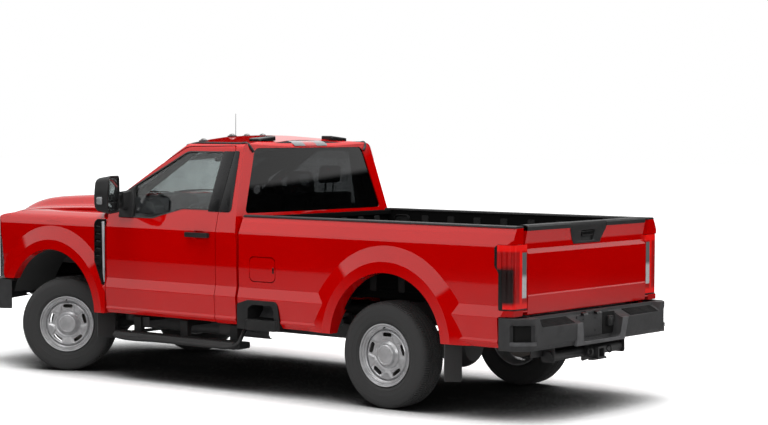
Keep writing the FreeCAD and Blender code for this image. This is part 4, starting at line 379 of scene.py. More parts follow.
def ring(points, axis, start, depth, inner, outer=0.0):
    """Band along a flat outline, reaching inner inside it and outer outside it, through depth."""
    piece = flat(points, axis, start)
    bpy.ops.mesh.select_mode(type="FACE")
    bpy.ops.mesh.select_all(action="SELECT")
    if outer:
        bpy.ops.mesh.inset(thickness=outer, use_outset=True)
    bpy.ops.mesh.inset(thickness=inner)
    bpy.ops.mesh.delete(type="FACE")
    bpy.ops.mesh.select_all(action="SELECT")
    return thickened(piece, axis, depth)


def on_skin(node, start, way):
    """Point where a line from start first meets a node."""
    hit, spot, _, _ = NODES[node].ray_cast(Vector(start), Vector(way))
    if not hit:
        raise RuntimeError(f"{node} is missed from {tuple(start)}")
    return spot


def on_roof(x, y):
    """Point on the cab's roof."""
    return on_skin("cab", (x, y, ABOVE_ROOF_Z), (0, 0, -1))


def moved(piece, change):
    """Put every corner of a piece where change(place) says."""
    for corner in piece.data.vertices:
        corner.co = change(corner.co.copy())
    return piece


def pair(piece, name, finish_name, body="chassis", **options):
    """Finish a left piece and its mirrored twin on the right."""
    other = mirrored(piece)
    finish(piece, name + "_left", finish_name, body, **options)
    finish(other, name + "_right", finish_name, body.replace("left", "right"), **options)
    return piece, other


def array(piece, count, step):
    """Row of copies of a piece in one mesh, each a step (x, y, z) on."""
    return modified(piece, "ARRAY", count=count, use_relative_offset=False, use_constant_offset=True,
                    constant_offset_displace=step)


def softened(piece, width, segments=3):
    """Round a piece's sharp edges."""
    return modified(piece, "BEVEL", width=width, segments=segments, limit_method="ANGLE",
                    angle_limit=math.radians(32))


# Shader nodes

class Net:
    """Adds and links the nodes of one shader tree."""

    def __init__(self, tree):
        self.tree = tree

    def link(self, source, target):
        """Link one output to one input."""
        self.tree.links.new(source, target)

    def feed(self, socket, value):
        """Give an input a value, or link it to an output."""
        if isinstance(value, bpy.types.NodeSocket):
            self.link(value, socket)
        else:
            socket.default_value = value

    def put(self, node, **values):
        """Set a node's own settings, and its inputs by name."""
        for name, value in values.items():
            if hasattr(node, name):
                setattr(node, name, value)
            else:
                self.feed(node.inputs[name.replace("_", " ")], value)
        return node

    def add(self, kind, **values):
        """New node with its settings and inputs."""
        return self.put(self.tree.nodes.new(kind), **values)

    def math(self, operation, a, b=0.0, clamp=False):
        """Math node of two numbers or outputs."""
        node = self.add("ShaderNodeMath", operation=operation, use_clamp=clamp)
        for socket, value in zip(node.inputs, (a, b)):
            self.feed(socket, value)
        return node.outputs[0]

    def line(self, value, slope, start):
        """Value times slope, plus start."""
        return self.math("ADD", self.math("MULTIPLY", value, slope), start)

    def ramp(self, value, low, high, start=0.0, end=1.0):
        """Smooth change from start to end while value goes from low to high."""
        node = self.add("ShaderNodeMapRange", interpolation_type="SMOOTHSTEP", Value=value, From_Min=low,
                        From_Max=high, To_Min=start, To_Max=end)
        return node.outputs["Result"]

    def blend(self, share, a, b):
        """Number between a and b."""
        node = self.add("ShaderNodeMix", data_type="FLOAT")
        for place, value in ((0, share), (2, a), (3, b)):
            self.feed(node.inputs[place], value)
        return node.outputs[0]

    def mix(self, share, a, b):
        """Colour between a and b."""
        node = self.add("ShaderNodeMix", data_type="RGBA")
        for place, value in ((0, share), (6, a), (7, b)):
            if not isinstance(value, (bpy.types.NodeSocket, int, float)):
                value = (*value[:3], 1.0)
            self.feed(node.inputs[place], value)
        return node.outputs[2]

    def place(self):
        """Object coordinates, and their X, Y and Z."""
        spot = self.add("ShaderNodeTexCoord").outputs["Object"]
        split = self.add("ShaderNodeSeparateXYZ")
        self.link(spot, split.inputs[0])
        return spot, split.outputs


def group(name, inputs, outputs, build):
    """Shader node group with named sockets, built once."""
    found = bpy.data.node_groups.get(name)
    if found:
        return found
    tree = bpy.data.node_groups.new(name, "ShaderNodeTree")
    for label, kind, default in inputs:
        socket = tree.interface.new_socket(label, in_out="INPUT", socket_type=kind)
        socket.default_value = default
    for label, kind in outputs:
        tree.interface.new_socket(label, in_out="OUTPUT", socket_type=kind)
    net = Net(tree)
    build(net, net.add("NodeGroupInput").outputs, net.add("NodeGroupOutput").inputs)
    return tree


NUMBER = "NodeSocketFloat"
ARROW = "NodeSocketVector"


def grain_group():
    """Leathery grain of moulded plastic and rubber."""
    def build(net, given, out):
        spot, _ = net.place()
        cells = net.add("ShaderNodeTexVoronoi", feature="F1", distance="EUCLIDEAN", Vector=spot,
                        Scale=given["Scale"])
        soft = net.add("ShaderNodeTexNoise", Detail=3.0, Vector=spot, Scale=net.math("MULTIPLY",
                                                                                     given["Scale"], 0.02))
        bump = net.add("ShaderNodeBump", Distance=0.001, Strength=given["Depth"],
                       Height=cells.outputs["Distance"])
        edge = net.add("ShaderNodeBevel", samples=4, Radius=given["Rounding"])
        net.link(edge.outputs[0], bump.inputs["Normal"])
        net.link(bump.outputs[0], out["Normal"])
        net.link(net.ramp(soft.outputs[0], 0.3, 0.7), out["Blotch"])
    return group("Moulded grain", [("Scale", NUMBER, 900.0), ("Depth", NUMBER, 0.3), ("Rounding", NUMBER,
                                                                                      0.002)], [("Normal",
                                                                                                 ARROW),
                                                                                                ("Blotch",
                                                                                                 NUMBER)],
                 build)


def wear_group():
    """Mask of the exposed edges, broken up by noise."""
    def build(net, given, out):
        spot, _ = net.place()
        edge = net.add("ShaderNodeBevel", samples=4, Radius=given["Width"])
        face = net.add("ShaderNodeNewGeometry")
        same = net.add("ShaderNodeVectorMath", operation="DOT_PRODUCT")
        net.link(edge.outputs[0], same.inputs[0])
        net.link(face.outputs["Normal"], same.inputs[1])
        sharp = net.ramp(same.outputs["Value"], 0.995, 0.9)
        chips = net.add("ShaderNodeTexNoise", Scale=70.0, Detail=4.0, Vector=spot)
        broken = net.ramp(chips.outputs[0], 0.42, 0.62)
        net.link(net.math("MULTIPLY", net.math("MULTIPLY", sharp, broken), given["Amount"]), out["Mask"])
    return group("Edge wear", [("Width", NUMBER, 0.003), ("Amount", NUMBER, 0.5)], [("Mask", NUMBER)], build)


def dust_group():
    """Road dust that thins out with height."""
    def build(net, given, out):
        spot, axes = net.place()
        low = net.ramp(axes["Z"], 0.15, 0.95, 1.0, 0.0)
        patches = net.add("ShaderNodeTexNoise", Scale=6.0, Detail=6.0, Roughness=0.65, Vector=spot)
        specks = net.add("ShaderNodeTexNoise", Scale=260.0, Detail=2.0, Vector=spot)
        both = net.math("MULTIPLY", net.ramp(patches.outputs[0], 0.3, 0.75), net.ramp(specks.outputs[0], 0.3,
                                                                                      0.7))
        net.link(net.math("MULTIPLY", net.math("MULTIPLY", both, low), given["Amount"]), out["Mask"])
    return group("Road dust", [("Amount", NUMBER, 0.15)], [("Mask", NUMBER)], build)


def peel_group():
    """Ripple and slight shade changes of sprayed lacquer, with softened panel edges."""
    def build(net, given, out):
        spot, _ = net.place()
        ripple = net.add("ShaderNodeTexNoise", Scale=180.0, Detail=1.0, Vector=spot)
        edge = net.add("ShaderNodeBevel", samples=6, Radius=given["Rounding"])
        bump = net.add("ShaderNodeBump", Distance=0.001, Strength=given["Depth"], Height=ripple.outputs[0],
                       Normal=edge.outputs[0])
        net.link(bump.outputs[0], out["Normal"])
        cloud = net.add("ShaderNodeTexNoise", Scale=1.3, Detail=2.0, Vector=spot)
        net.link(net.ramp(cloud.outputs[0], 0.3, 0.7, 0.96, 1.04), out["Shade"])
    return group("Lacquer", [("Depth", NUMBER, 0.02), ("Rounding", NUMBER, 0.003)],
                 [("Normal", ARROW), ("Shade", NUMBER)], build)


def cabin_group():
    """Mask of the cab's and doors' inner faces, by their depth behind the outer skin."""
    def build(net, given, out):
        _, axes = net.place()
        wide = net.math("ABSOLUTE", axes["Y"])
        squared = net.math("POWER", wide, 2.0)
        lower = net.line(axes["Z"], -SIDE_LEAN, SIDE_Y + SIDE_LEAN * 1.25)
        upper = net.line(axes["Z"], -GLASS_LEAN, BELT_Y + GLASS_LEAN * BELT_Z)
        skin = net.math("MINIMUM", net.math("MINIMUM", lower, upper), SIDE_Y)
        beside = net.ramp(net.math("SUBTRACT", skin, wide), 0.03, 0.04)
        roof = net.math("SUBTRACT", net.line(squared, -0.12, 2.008), net.ramp(axes["X"], 0.15, 0.7, 0.0,
                                                                              0.03))
        under = net.ramp(net.math("SUBTRACT", roof, axes["Z"]), 0.03, 0.036)
        bowed_back = net.line(squared, 1 / 28.0, CAB_BACK_X)
        back = net.math("ADD", bowed_back, net.line(net.math("MAXIMUM", axes["Z"], 1.39), 0.145,
                                                    -0.145 * 1.39))
        ahead = net.ramp(net.math("SUBTRACT", axes["X"], back), 0.02, 0.025)
        slope = net.line(net.math("MAXIMUM", axes["Z"], SCREEN_FOOT_Z), -SCREEN_SLOPE,
                         SCREEN_FOOT_X + SCREEN_SLOPE * SCREEN_FOOT_Z)
        glass_x = net.math("SUBTRACT", slope, net.line(squared, 1 / SCREEN_BOW, 0.0))
        behind = net.ramp(net.math("SUBTRACT", glass_x, axes["X"]), 0.04, 0.05)
        above = net.ramp(axes["Z"], 0.60, 0.62)
        mask = net.math("MULTIPLY", beside, under)
        for part in (ahead, behind, above):
            mask = net.math("MULTIPLY", mask, part)
        net.link(mask, out["Mask"])
    return group("Cabin side", [], [("Mask", NUMBER)], build)


def liner_group():
    """Mask of the bed's load side: inner walls, tailgate's back and front wall."""
    def build(net, given, out):
        _, axes = net.place()
        wide = net.math("ABSOLUTE", axes["Y"])
        within = net.ramp(wide, 0.905, 0.9)
        ahead = net.ramp(axes["X"], BED_REAR_X + 0.045, BED_REAR_X + 0.05)
        above = net.ramp(axes["Z"], 0.7, 0.71)
        net.link(net.math("MULTIPLY", net.math("MULTIPLY", within, ahead), above), out["Mask"])
    return group("Load side", [], [("Mask", NUMBER)], build)


def placed(net, tree, **values):
    """Node group placed in a material, with its own values."""
    node = net.add("ShaderNodeGroup", node_tree=tree)
    for name, value in values.items():
        node.inputs[name].default_value = value
    return node


def blank(name):
    """New material with only its Principled shader and output."""
    material = bpy.data.materials.new(name)
    material.use_nodes = True
    material.node_tree.nodes.clear()
    net = Net(material.node_tree)
    shader = net.add("ShaderNodeBsdfPrincipled")
    ending = net.add("ShaderNodeOutputMaterial", Surface=shader.outputs[0])
    return material, net, shader


def paint(name, inside=None, inside_colour=(0.02, 0.02, 0.021)):
    """Gloss body paint, with a dull trim finish on the side that a mask names."""
    look = bpy.context.scene.truck_paint
    material, net, shader = blank(name)
    lacquer = placed(net, peel_group(), Depth=look.peel)
    dust = placed(net, dust_group(), Amount=look.dust)
    shaded = net.add("ShaderNodeHueSaturation", Color=(*look.body, 1.0), Value=lacquer.outputs["Shade"])
    colour = net.mix(dust.outputs["Mask"], shaded.outputs[0], (0.30, 0.24, 0.2))
    rough = net.ramp(dust.outputs["Mask"], 0.0, 0.5, 0.22, 0.5)
    coat = look.coat
    if inside:
        mask = placed(net, inside).outputs["Mask"]
        colour = net.mix(mask, colour, inside_colour)
        rough = net.math("MAXIMUM", rough, net.math("MULTIPLY", mask, 0.62))
        coat = net.math("MULTIPLY", net.math("SUBTRACT", 1.0, mask), look.coat)
    net.put(shader, Base_Color=colour, Roughness=rough, Normal=lacquer.outputs["Normal"], Coat_Weight=coat,
            Coat_Roughness=0.03, Coat_IOR=1.6, Specular_IOR_Level=0.0)
    return material


def moulded(name, colour, roughness=0.55, scale=900.0, depth=0.3, wear=0.35, rounding=0.002, specular=0.35):
    """Grained plastic or rubber that pales on its edges."""
    look = bpy.context.scene.truck_paint
    material, net, shader = blank(name)
    grain = placed(net, grain_group(), Scale=scale, Depth=depth, Rounding=rounding)
    edges = placed(net, wear_group(), Amount=wear)
    dust = placed(net, dust_group(), Amount=look.dust)
    base = net.mix(grain.outputs["Blotch"], [c * 0.85 for c in colour], [c * 1.18 for c in colour])
    base = net.mix(edges.outputs["Mask"], base, [c * 2 + 0.02 for c in colour])
    base = net.mix(dust.outputs["Mask"], base, (0.16, 0.145, 0.13))
    net.put(shader, Base_Color=base, Roughness=net.ramp(grain.outputs["Blotch"], 0.0, 1.0, roughness - 0.05,
                                                        roughness + 0.07), Normal=grain.outputs["Normal"],
            Specular_IOR_Level=specular)
    return material


def metal(name, colour, roughness=0.4, metallic=1.0, scale=300.0, depth=0.1, wear=0.5, rounding=0.002,
          coat=0.0):
    """Cast, brushed or painted metal with worn edges."""
    look = bpy.context.scene.truck_paint
    material, net, shader = blank(name)
    grain = placed(net, grain_group(), Scale=scale, Depth=depth, Rounding=rounding)
    edges = placed(net, wear_group(), Amount=wear)
    dust = placed(net, dust_group(), Amount=look.dust * 1.5)
    base = net.mix(grain.outputs["Blotch"], [c * 0.88 for c in colour], [min(1, c * 1.12) for c in colour])
    base = net.mix(edges.outputs["Mask"], base, [min(1, c * 1.5 + 0.05) for c in colour])
    base = net.mix(dust.outputs["Mask"], base, (0.22, 0.2, 0.17))
    net.put(shader, Base_Color=base, Roughness=net.ramp(grain.outputs["Blotch"], 0.0, 1.0, roughness - 0.06,
                                                        roughness + 0.08), Normal=grain.outputs["Normal"],
            Metallic=metallic, Coat_Weight=coat, Coat_Roughness=0.12)
    return material


def glass(name, tint, roughness=0.0, crown=0.0, front=None):
    """Tinted pane, crowned from top to bottom, that reflects the surround; front is the windscreen's tint."""
    material, net, shader = blank(name)
    spot, axes = net.place()
    bulge = net.add("ShaderNodeCombineXYZ", Z=net.line(axes["Z"], crown, -crown * WINDOW_MIDDLE_Z))
    bent = net.add("ShaderNodeVectorMath", operation="ADD")
    net.link(net.add("ShaderNodeNewGeometry").outputs["Normal"], bent.inputs[0])
    net.link(bulge.outputs[0], bent.inputs[1])
    level = net.add("ShaderNodeVectorMath", operation="NORMALIZE")
    net.link(bent.outputs[0], level.inputs[0])
    net.link(level.outputs[0], shader.inputs["Normal"])
    film = net.add("ShaderNodeTexNoise", Scale=9.0, Detail=4.0, Vector=spot)
    base = net.mix(net.ramp(film.outputs[0], 0.3, 0.7), [c * 0.94 for c in tint], [c * 1.06 for c in tint])
    if front:
        base = net.mix(net.ramp(axes["X"], 0.3, 0.4), base, front)
    net.put(shader, Base_Color=base, Roughness=net.ramp(film.outputs[0], 0.35, 0.75, roughness,
                                                        roughness + 0.012), Transmission_Weight=1.0, IOR=1.45)
    return material


def lens(name, colour, scale=160.0, depth=0.6, through=0.35):
    """Prismed lamp lens."""
    material, net, shader = blank(name)
    spot, _ = net.place()
    prisms = net.add("ShaderNodeTexVoronoi", feature="F1", distance="CHEBYCHEV", Scale=scale, Randomness=0.0,
                     Vector=spot)
    bump = net.add("ShaderNodeBump", Strength=depth, Distance=0.002, Height=prisms.outputs["Distance"])
    net.link(bump.outputs[0], shader.inputs["Normal"])
    base = net.mix(net.ramp(prisms.outputs["Distance"], 0.1, 0.6), colour, [c * 0.45 for c in colour])
    net.put(shader, Base_Color=base, Roughness=0.08, Coat_Weight=1.0, Coat_Roughness=0.02,
            Transmission_Weight=through)
    return material


def cloth(name, colour):
    """Woven seat cloth with a soft sheen."""
    material, net, shader = blank(name)
    spot, _ = net.place()
    warp = net.add("ShaderNodeTexWave", wave_type="BANDS", bands_direction="Y", Scale=180.0, Distortion=0.4)
    weft = net.add("ShaderNodeTexWave", wave_type="BANDS", bands_direction="X", Scale=180.0, Distortion=0.4)
    net.link(spot, warp.inputs["Vector"])
    net.link(spot, weft.inputs["Vector"])
    weave = net.math("MAXIMUM", warp.outputs["Fac"], weft.outputs["Fac"])
    bump = net.add("ShaderNodeBump", Strength=0.4, Distance=0.001, Height=weave)
    net.link(bump.outputs[0], shader.inputs["Normal"])
    blot = net.add("ShaderNodeTexNoise", Scale=14.0, Detail=4.0, Vector=spot)
    base = net.mix(weave, [c * 0.6 for c in colour], colour)
    base = net.mix(net.ramp(blot.outputs[0], 0.4, 0.7, 0.0, 0.4), base, [c * 1.25 for c in colour])
    net.put(shader, Base_Color=base, Roughness=0.85, Sheen_Weight=0.3)
    return material


def tail_lens(name):
    """Rear lamp: prismed red with painted highlights in bright red along its top, bottom and outer edges,
    painted shade in near-black over its recessed middle, and a clear upright strip.
    """
    material, net, shader = blank(name)
    spot, axes = net.place()
    wide = net.math("ABSOLUTE", axes["Y"])
    prisms = net.add("ShaderNodeTexVoronoi", feature="F1", distance="CHEBYCHEV", Scale=120.0, Randomness=0.0,
                     Vector=spot)
    bump = net.add("ShaderNodeBump", Strength=0.6, Distance=0.002, Height=prisms.outputs["Distance"])
    net.link(bump.outputs[0], shader.inputs["Normal"])

    def window(value, low, high, soft=0.006):
        return net.math("MULTIPLY", net.ramp(value, low - soft, low), net.ramp(value, high + soft, high))

    facets = net.ramp(prisms.outputs["Distance"], 0.15, 0.6)
    base = net.mix(facets, (0.60, 0.002, 0.002), (0.22, 0.0005, 0.0005))
    # Brighter red bands at the top, bottom and outer edge: painted highlight.
    painted_edge_highlight = net.math("MAXIMUM", window(axes["Z"], 1.225, 1.28, 0.02), window(axes["Z"], 0.79, 0.835, 0.03))
    painted_edge_highlight = net.math("MAXIMUM", painted_edge_highlight, window(wide, 0.872, 0.894, 0.010))
    base = net.mix(painted_edge_highlight, base, (0.95, 0.006, 0.004))
    # Near-black over the middle faces set back from the lens front: painted shade in the recess.
    painted_recess_shade = net.math("MULTIPLY", window(axes["X"], -2.778, -2.712, 0.02), window(axes["Z"], 0.865, 1.075,
                                                                                0.05))
    base = net.mix(painted_recess_shade, base, (0.010, 0.0015, 0.0015))
    low_rim = net.math("MULTIPLY", net.ramp(axes["X"], -2.712, -2.704), net.ramp(axes["Z"], 1.11, 1.08))
    rim = net.math("MAXIMUM", low_rim, net.ramp(axes["X"], -2.668, -2.662))
    rim = net.math("MULTIPLY", net.math("MAXIMUM", rim, net.ramp(axes["Z"], 0.812, 0.806)),
                   net.ramp(axes["Z"], 1.45, 1.40))
    base = net.mix(rim, base, (0.006, 0.006, 0.006))
    clear = net.math("MULTIPLY", window(wide, 0.816, 0.866, 0.002), window(axes["Z"], 0.885, 1.205, 0.003))
    middle = net.math("MULTIPLY", net.ramp(axes["Z"], 1.45, 1.5), net.ramp(wide, 0.070, 0.074))
    clear = net.math("MAXIMUM", clear, middle)
    pale = net.mix(net.ramp(axes["Z"], 1.06, 1.02), (0.15, 0.155, 0.16), (0.80, 0.81, 0.82))
    base = net.mix(clear, base, net.mix(facets, pale, (0.10, 0.105, 0.11)))
    net.put(shader, Base_Color=base, Roughness=0.1, Coat_Weight=1.0, Coat_Roughness=0.02)
    return material


def make_surface(name):
    """Build one named finish."""
    look = bpy.context.scene.truck_paint
    makers = {
        "paint": lambda: paint(name),
        "cab paint": lambda: paint(name, cabin_group(), (0.03, 0.03, 0.031)),
        "bed paint": lambda: paint(name, liner_group(), (0.006, 0.006, 0.006)),
        "black metal": lambda: metal(name, (0.018, 0.018, 0.019), 0.42, 0.0, 260.0, 0.12, 0.4),
        "cast": lambda: metal(name, (0.11, 0.11, 0.115), 0.5, 0.7, 240.0, 0.5, 0.5),
        "steel": lambda: metal(name, (0.28, 0.26, 0.24), 0.4, 1.0, 500.0, 0.1, 0.3),
        "black plastic": lambda: moulded(name, look.trim, 0.5, 850.0, 0.25, 0.3),
        "gloss black": lambda: moulded(name, (0.008, 0.008, 0.008), 0.14, 600.0, 0.02, 0.1),
        "liner": lambda: moulded(name, (0.0055, 0.0055, 0.0055), 0.72, 420.0, 0.7, 0.15, specular=0.15),
        "interior": lambda: moulded(name, (0.024, 0.024, 0.025), 0.6, 900.0, 0.3, 0.2),
        "rubber": lambda: moulded(name, (0.008, 0.008, 0.008), 0.68, 500.0, 0.2, 0.25, specular=0.25),
        "tyre": lambda: moulded(name, look.rubber, 0.62, 700.0, 0.2, 0.35, 0.001),
        "wheel silver": lambda: metal(name, look.wheel, 0.34, 0.55, 700.0, 0.04, 0.2, 0.0015, 0.5),
        "mirror glass": lambda: metal(name, (0.24, 0.245, 0.25), 0.05, 1.0, 200.0, 0.0, 0.0),
        "tinted glass": lambda: glass(name, (0.022, 0.023, 0.024), crown=0.20, front=(0.21, 0.24, 0.24)),
        "clear glass": lambda: glass(name, (0.80, 0.84, 0.83)),
        "clear lens": lambda: lens(name, (0.20, 0.205, 0.215)),
        "tail lens": lambda: tail_lens(name),
        "cloth": lambda: cloth(name, (0.11, 0.11, 0.115)),
        "bumper grey": lambda: moulded(name, (0.030, 0.030, 0.031), 0.52, 800.0, 0.25, 0.4),
        "post black": lambda: moulded(name, (0.007, 0.007, 0.0075), 0.24, 500.0, 0.03, 0.15),
        "smoke lens": lambda: lens(name, (0.16, 0.15, 0.15), 220.0, 0.4, 0.2),
        "pale lens": lambda: lens(name, (0.34, 0.35, 0.36), 260.0, 0.3, 0.05),
        # Paler copy of the bumper grey, for parts made lighter as if light falls on them: painted light.
        "painted lit bumper grey": lambda: moulded(name, (0.075, 0.075, 0.078), 0.46, 800.0, 0.2, 0.3),
        "satin": lambda: metal(name, (0.50, 0.50, 0.52), 0.36, 0.35, 500.0, 0.02, 0.1),
    }
    return makers[name]()


def surface(name):
    """One named finish, built when it is first asked for."""
    return bpy.data.materials.get(name) or make_surface(name)


NODE_FINISH = { "frame": "black metal", "hitch": "black metal", "engine_block": "cast", "driveline": "cast",
               "exhaust": "steel", "fuel_tank": "black plastic", "front_axle": "black metal",
               "rear_axle": "black metal", "springs": "black metal", "tie_rod": "black metal",
               "cab": "cab paint", "cab_glass": "tinted glass", "dashboard": "interior",
               "steering_wheel": "interior", "seats": "cloth", "roof_lamps": "gloss black",
               "antenna": "black plastic", "hood": "paint", "grille": "gloss black",
               "radiator": "black metal", "head_lamps": "clear lens", "front_bumper": "bumper grey",
               "fenders": "paint", "fender_vents": "gloss black", "front_liners": "rubber",
               "running_boards": "black plastic", "bed_floor": "liner", "bed_front_wall": "bed paint",
               "bed_sides": "bed paint", "rail_caps": "black plastic", "side_steps": "black plastic",
               "tail_lamps": "tail lens", "rear_bumper": "bumper grey", "mud_flaps": "rubber",
               "tailgate": "bed paint", "tailgate_handle": "black plastic", "fuel_door": "paint",
               "door_left": "cab paint", "door_right": "cab paint", "door_glass_left": "clear glass",
               "door_glass_right": "clear glass", "door_handle_left": "black plastic",
               "door_handle_right": "black plastic", "mirror_left": "black plastic",
               "mirror_right": "black plastic", "knuckle_left": "cast", "knuckle_right": "cast", }
for corner_name in WHEELS:
    NODE_FINISH["tyre_" + corner_name] = "tyre"
    NODE_FINISH["wheel_" + corner_name] = "wheel silver"


# Operators

class TRUCK_OT_finishes(Operator):
    """Give every carried-over solid its procedural finish"""
    bl_idname = "truck.finishes"
    bl_label = "Finishes"

    def execute(self, context):
        for name, node in NODES.items():
            for slot in node.material_slots:
                slot.material = surface(NODE_FINISH[name])
        return {"FINISHED"}


# Wheels and tyres, modelled about the origin with +Y outwards

TYRE_RADIUS = 0.399
TREAD_PITCHES = 68
TREAD_FOOT = 0.386
SLOT_ANGLES = [math.radians(90 + 72 * step) for step in range(5)]
TYRE_SIDE = ((0.099, 0.222), (0.099, 0.2375), (0.1035, 0.243), (0.1085, 0.247), (0.1135, 0.256),
             (0.1160, 0.2615), (0.1176, 0.2620), (0.1186, 0.2700), (0.1178, 0.2708), (0.1203, 0.2850),
             (0.1220, 0.2990), (0.1231, 0.2996), (0.1232, 0.3040), (0.1226, 0.3046), (0.1229, 0.3125),
             (0.1229, 0.3260), (0.1219, 0.3390), (0.1230, 0.3396), (0.1222, 0.3450), (0.1200, 0.3560),
             (0.1150, 0.3680), (0.1080, 0.3775), (0.0990, 0.3840), (0.0850, 0.3870), (0.0550, 0.3890),
             (0.0250, 0.3898))
RIM = ((-0.1093, 0.2350), (-0.0993, 0.2350), (-0.0993, 0.2217), (-0.0400, 0.1997), (0.0500, 0.1997),
       (0.0993, 0.2217), (0.0993, 0.2350), (0.1060, 0.2362), (0.1105, 0.2350), (0.1118, 0.2310),
       (0.1098, 0.2262), (0.1040, 0.2240), (0.0975, 0.2215), (0.0945, 0.2170), (0.0950, 0.2120),
       (0.0985, 0.2095), (0.0990, 0.2060), (0.0950, 0.2025), (0.0860, 0.2005), (0.0820, 0.1970),
       (0.0800, 0.1930), (0.0560, 0.1917), (-0.0440, 0.1917), (-0.0973, 0.2137), (-0.1103, 0.2280))
DISC = ((0.0600, 0.1960), (0.0655, 0.1900), (0.0720, 0.1850), (0.0790, 0.1800), (0.0830, 0.1745),
        (0.0842, 0.1690), (0.0838, 0.1630), (0.0830, 0.1570), (0.0822, 0.1500), (0.0815, 0.1430),
        (0.0808, 0.1360), (0.0798, 0.1300), (0.0780, 0.1240), (0.0745, 0.1180), (0.0695, 0.1120),
        (0.0655, 0.1060), (0.0640, 0.1000), (0.0640, 0.0600))
CAP = ((0.0640, 0.0), (0.1030, 0.0), (0.1045, 0.0300), (0.1048, 0.0520), (0.1040, 0.0565), (0.1022, 0.0580),
       (0.1022, 0.0600), (0.1050, 0.0625), (0.1056, 0.0680), (0.1030, 0.0745), (0.0980, 0.0780),
       (0.0860, 0.0805), (0.0790, 0.0835), (0.0740, 0.0890), (0.0690, 0.0960), (0.0650, 0.1010),
       (0.0640, 0.1010))
ROTOR = ((-0.0520, 0.0), (0.0560, 0.0), (0.0560, 0.0700), (-0.0180, 0.0720), (-0.0200, 0.0900),
         (-0.0200, 0.1740), (-0.0220, 0.1760), (-0.0500, 0.1760), (-0.0520, 0.1740))


def lug(section, length, along=0.0, skew=0.0):
    """Tread block of a (y, radius) section at the top of the tyre."""
    block = plate(section, "X", -length / 2, length)
    for corner in block.data.vertices:
        corner.co.x += along + skew * corner.co.y
    return modified(block, "BEVEL", width=0.0011, segments=1)


def tread_top(y):
    """Radius of the tread's crown at y."""
    return TYRE_RADIUS - 0.0002 - 0.42 * y * y


def tyre_form():
    """Tyre with ringed sidewalls and rows of sipe-cut blocks."""
    section = list(TYRE_SIDE) + [(0.0, 0.390)] + [(-y, radius) for y, radius in reversed(TYRE_SIDE)]
    carcass = turned(section, (0, 0, 0), steps=120)
    pitch = math.tau * TYRE_RADIUS / TREAD_PITCHES
    blocks = []
    for side in (1, -1):
        shoulder = [(0.0585, TREAD_FOOT), (0.0585, tread_top(0.0585)), (0.085, tread_top(0.085)),
                    (0.0985, 0.3905), (0.1075, 0.3815), (0.1145, 0.3715), (0.1150, 0.3660), (0.100, 0.375)]
        inner = [(0.0245, TREAD_FOOT), (0.0245, tread_top(0.0245)), (0.0520, tread_top(0.0520)),
                 (0.0520, TREAD_FOOT)]
        for half in (-1, 1):
            quarter = pitch * 0.235
            shoulder_points = [(side * y, radius) for y, radius in shoulder]
            inner_points = [(side * y, radius) for y, radius in inner]
            blocks.append(lug(shoulder_points, pitch * 0.35, half * quarter, 0.05 * side))
            blocks.append(lug(inner_points, pitch * 0.38, half * quarter + pitch * 0.3, -0.45 * side))
    for half in (-1, 1):
        rib = [(-0.0185, TREAD_FOOT), (-0.0185, tread_top(0.0185)), (0.0185, tread_top(0.0185)),
               (0.0185, TREAD_FOOT)]
        blocks.append(lug(rib, pitch * 0.43, half * pitch * 0.25, 0.5))
    row = joined(*blocks)
    edit_all(row)
    bpy.ops.mesh.spin(steps=TREAD_PITCHES - 1, angle=math.tau * (TREAD_PITCHES - 1) / TREAD_PITCHES,
                      dupli=True, center=(0, 0, 0), axis=(0, 1, 0))
    settle()
    return joined(carcass, row)


def pressed(radius, angle):
    """How far the wheel's disc is pressed in at a radius and angle, between its raised pads."""
    nearest = min(abs((angle - slot + math.pi) % math.tau - math.pi) for slot in SLOT_ANGLES)
    across = min(1.0, max(0.0, (0.066 - nearest * radius) / 0.016))
    along = min(1.0, max(0.0, (0.172 - radius) / 0.008)) * min(1.0, max(0.0, (radius - 0.112) / 0.012))
    depth = across * across * (3 - 2 * across) * along * along * (3 - 2 * along)
    rim = max(0.0, 1 - abs(nearest * radius - 0.056) / 0.006) * along
    return 0.010 * depth - 0.0015 * rim


def slot_cutter(angle):
    """Round-ended block for one ventilation slot."""
    points = rounded([(-0.040, 0.136, 0.013), (0.040, 0.136, 0.013), (0.044, 0.1655, 0.014),
                      (-0.044, 0.1655, 0.014)])
    cutter = plate(points, "Y", 0.02, 0.1)
    edit_all(cutter)
    turn = Matrix.Rotation(math.pi / 2 - angle, 4, "Y")
    settle()
    cutter.data.transform(turn)
    return cutter


def wheel_form():
    """Painted steel wheel: stepped rim and a disc with pressed slots and raised pads."""
    rim = turned(RIM, (0, 0, 0), steps=120)
    face = list(DISC)
    back = [(along - 0.007, radius) for along, radius in reversed(DISC)]
    disc = turned(face + back, (0, 0, 0), steps=200)
    for corner in disc.data.vertices:
        radius = math.hypot(corner.co.x, corner.co.z)
        corner.co.y -= pressed(radius, math.atan2(corner.co.z, corner.co.x))
    cut(disc, *[slot_cutter(angle) for angle in SLOT_ANGLES])
    return joined(rim, disc)


def valve_form():
    """Rubber valve stem with its cap, near the top of the rim."""
    stem = bar((0.002, 0.088, 0.2075), (0.002, 0.112, 0.2030), 0.0055, 16)
    top = bar((0.002, 0.110, 0.2034), (0.002, 0.120, 0.2015), 0.0045, 16)
    return joined(stem, top)


def at_wheel(piece, corner):
    """Copy of a piece, moved from the origin onto one of the truck's wheels."""
    spin = JOINTS["spin_" + corner]
    out = Vector(spin["axis"]).normalized() * (1 if corner.endswith("left") else -1)
    up = Vector((0, 0, 1))
    copy = twin(piece)
    place = Matrix((out.cross(up), out, up)).transposed().to_4x4()
    place.translation = spin["pos_m"]
    copy.matrix_world = place
    seat(copy)
    return copy


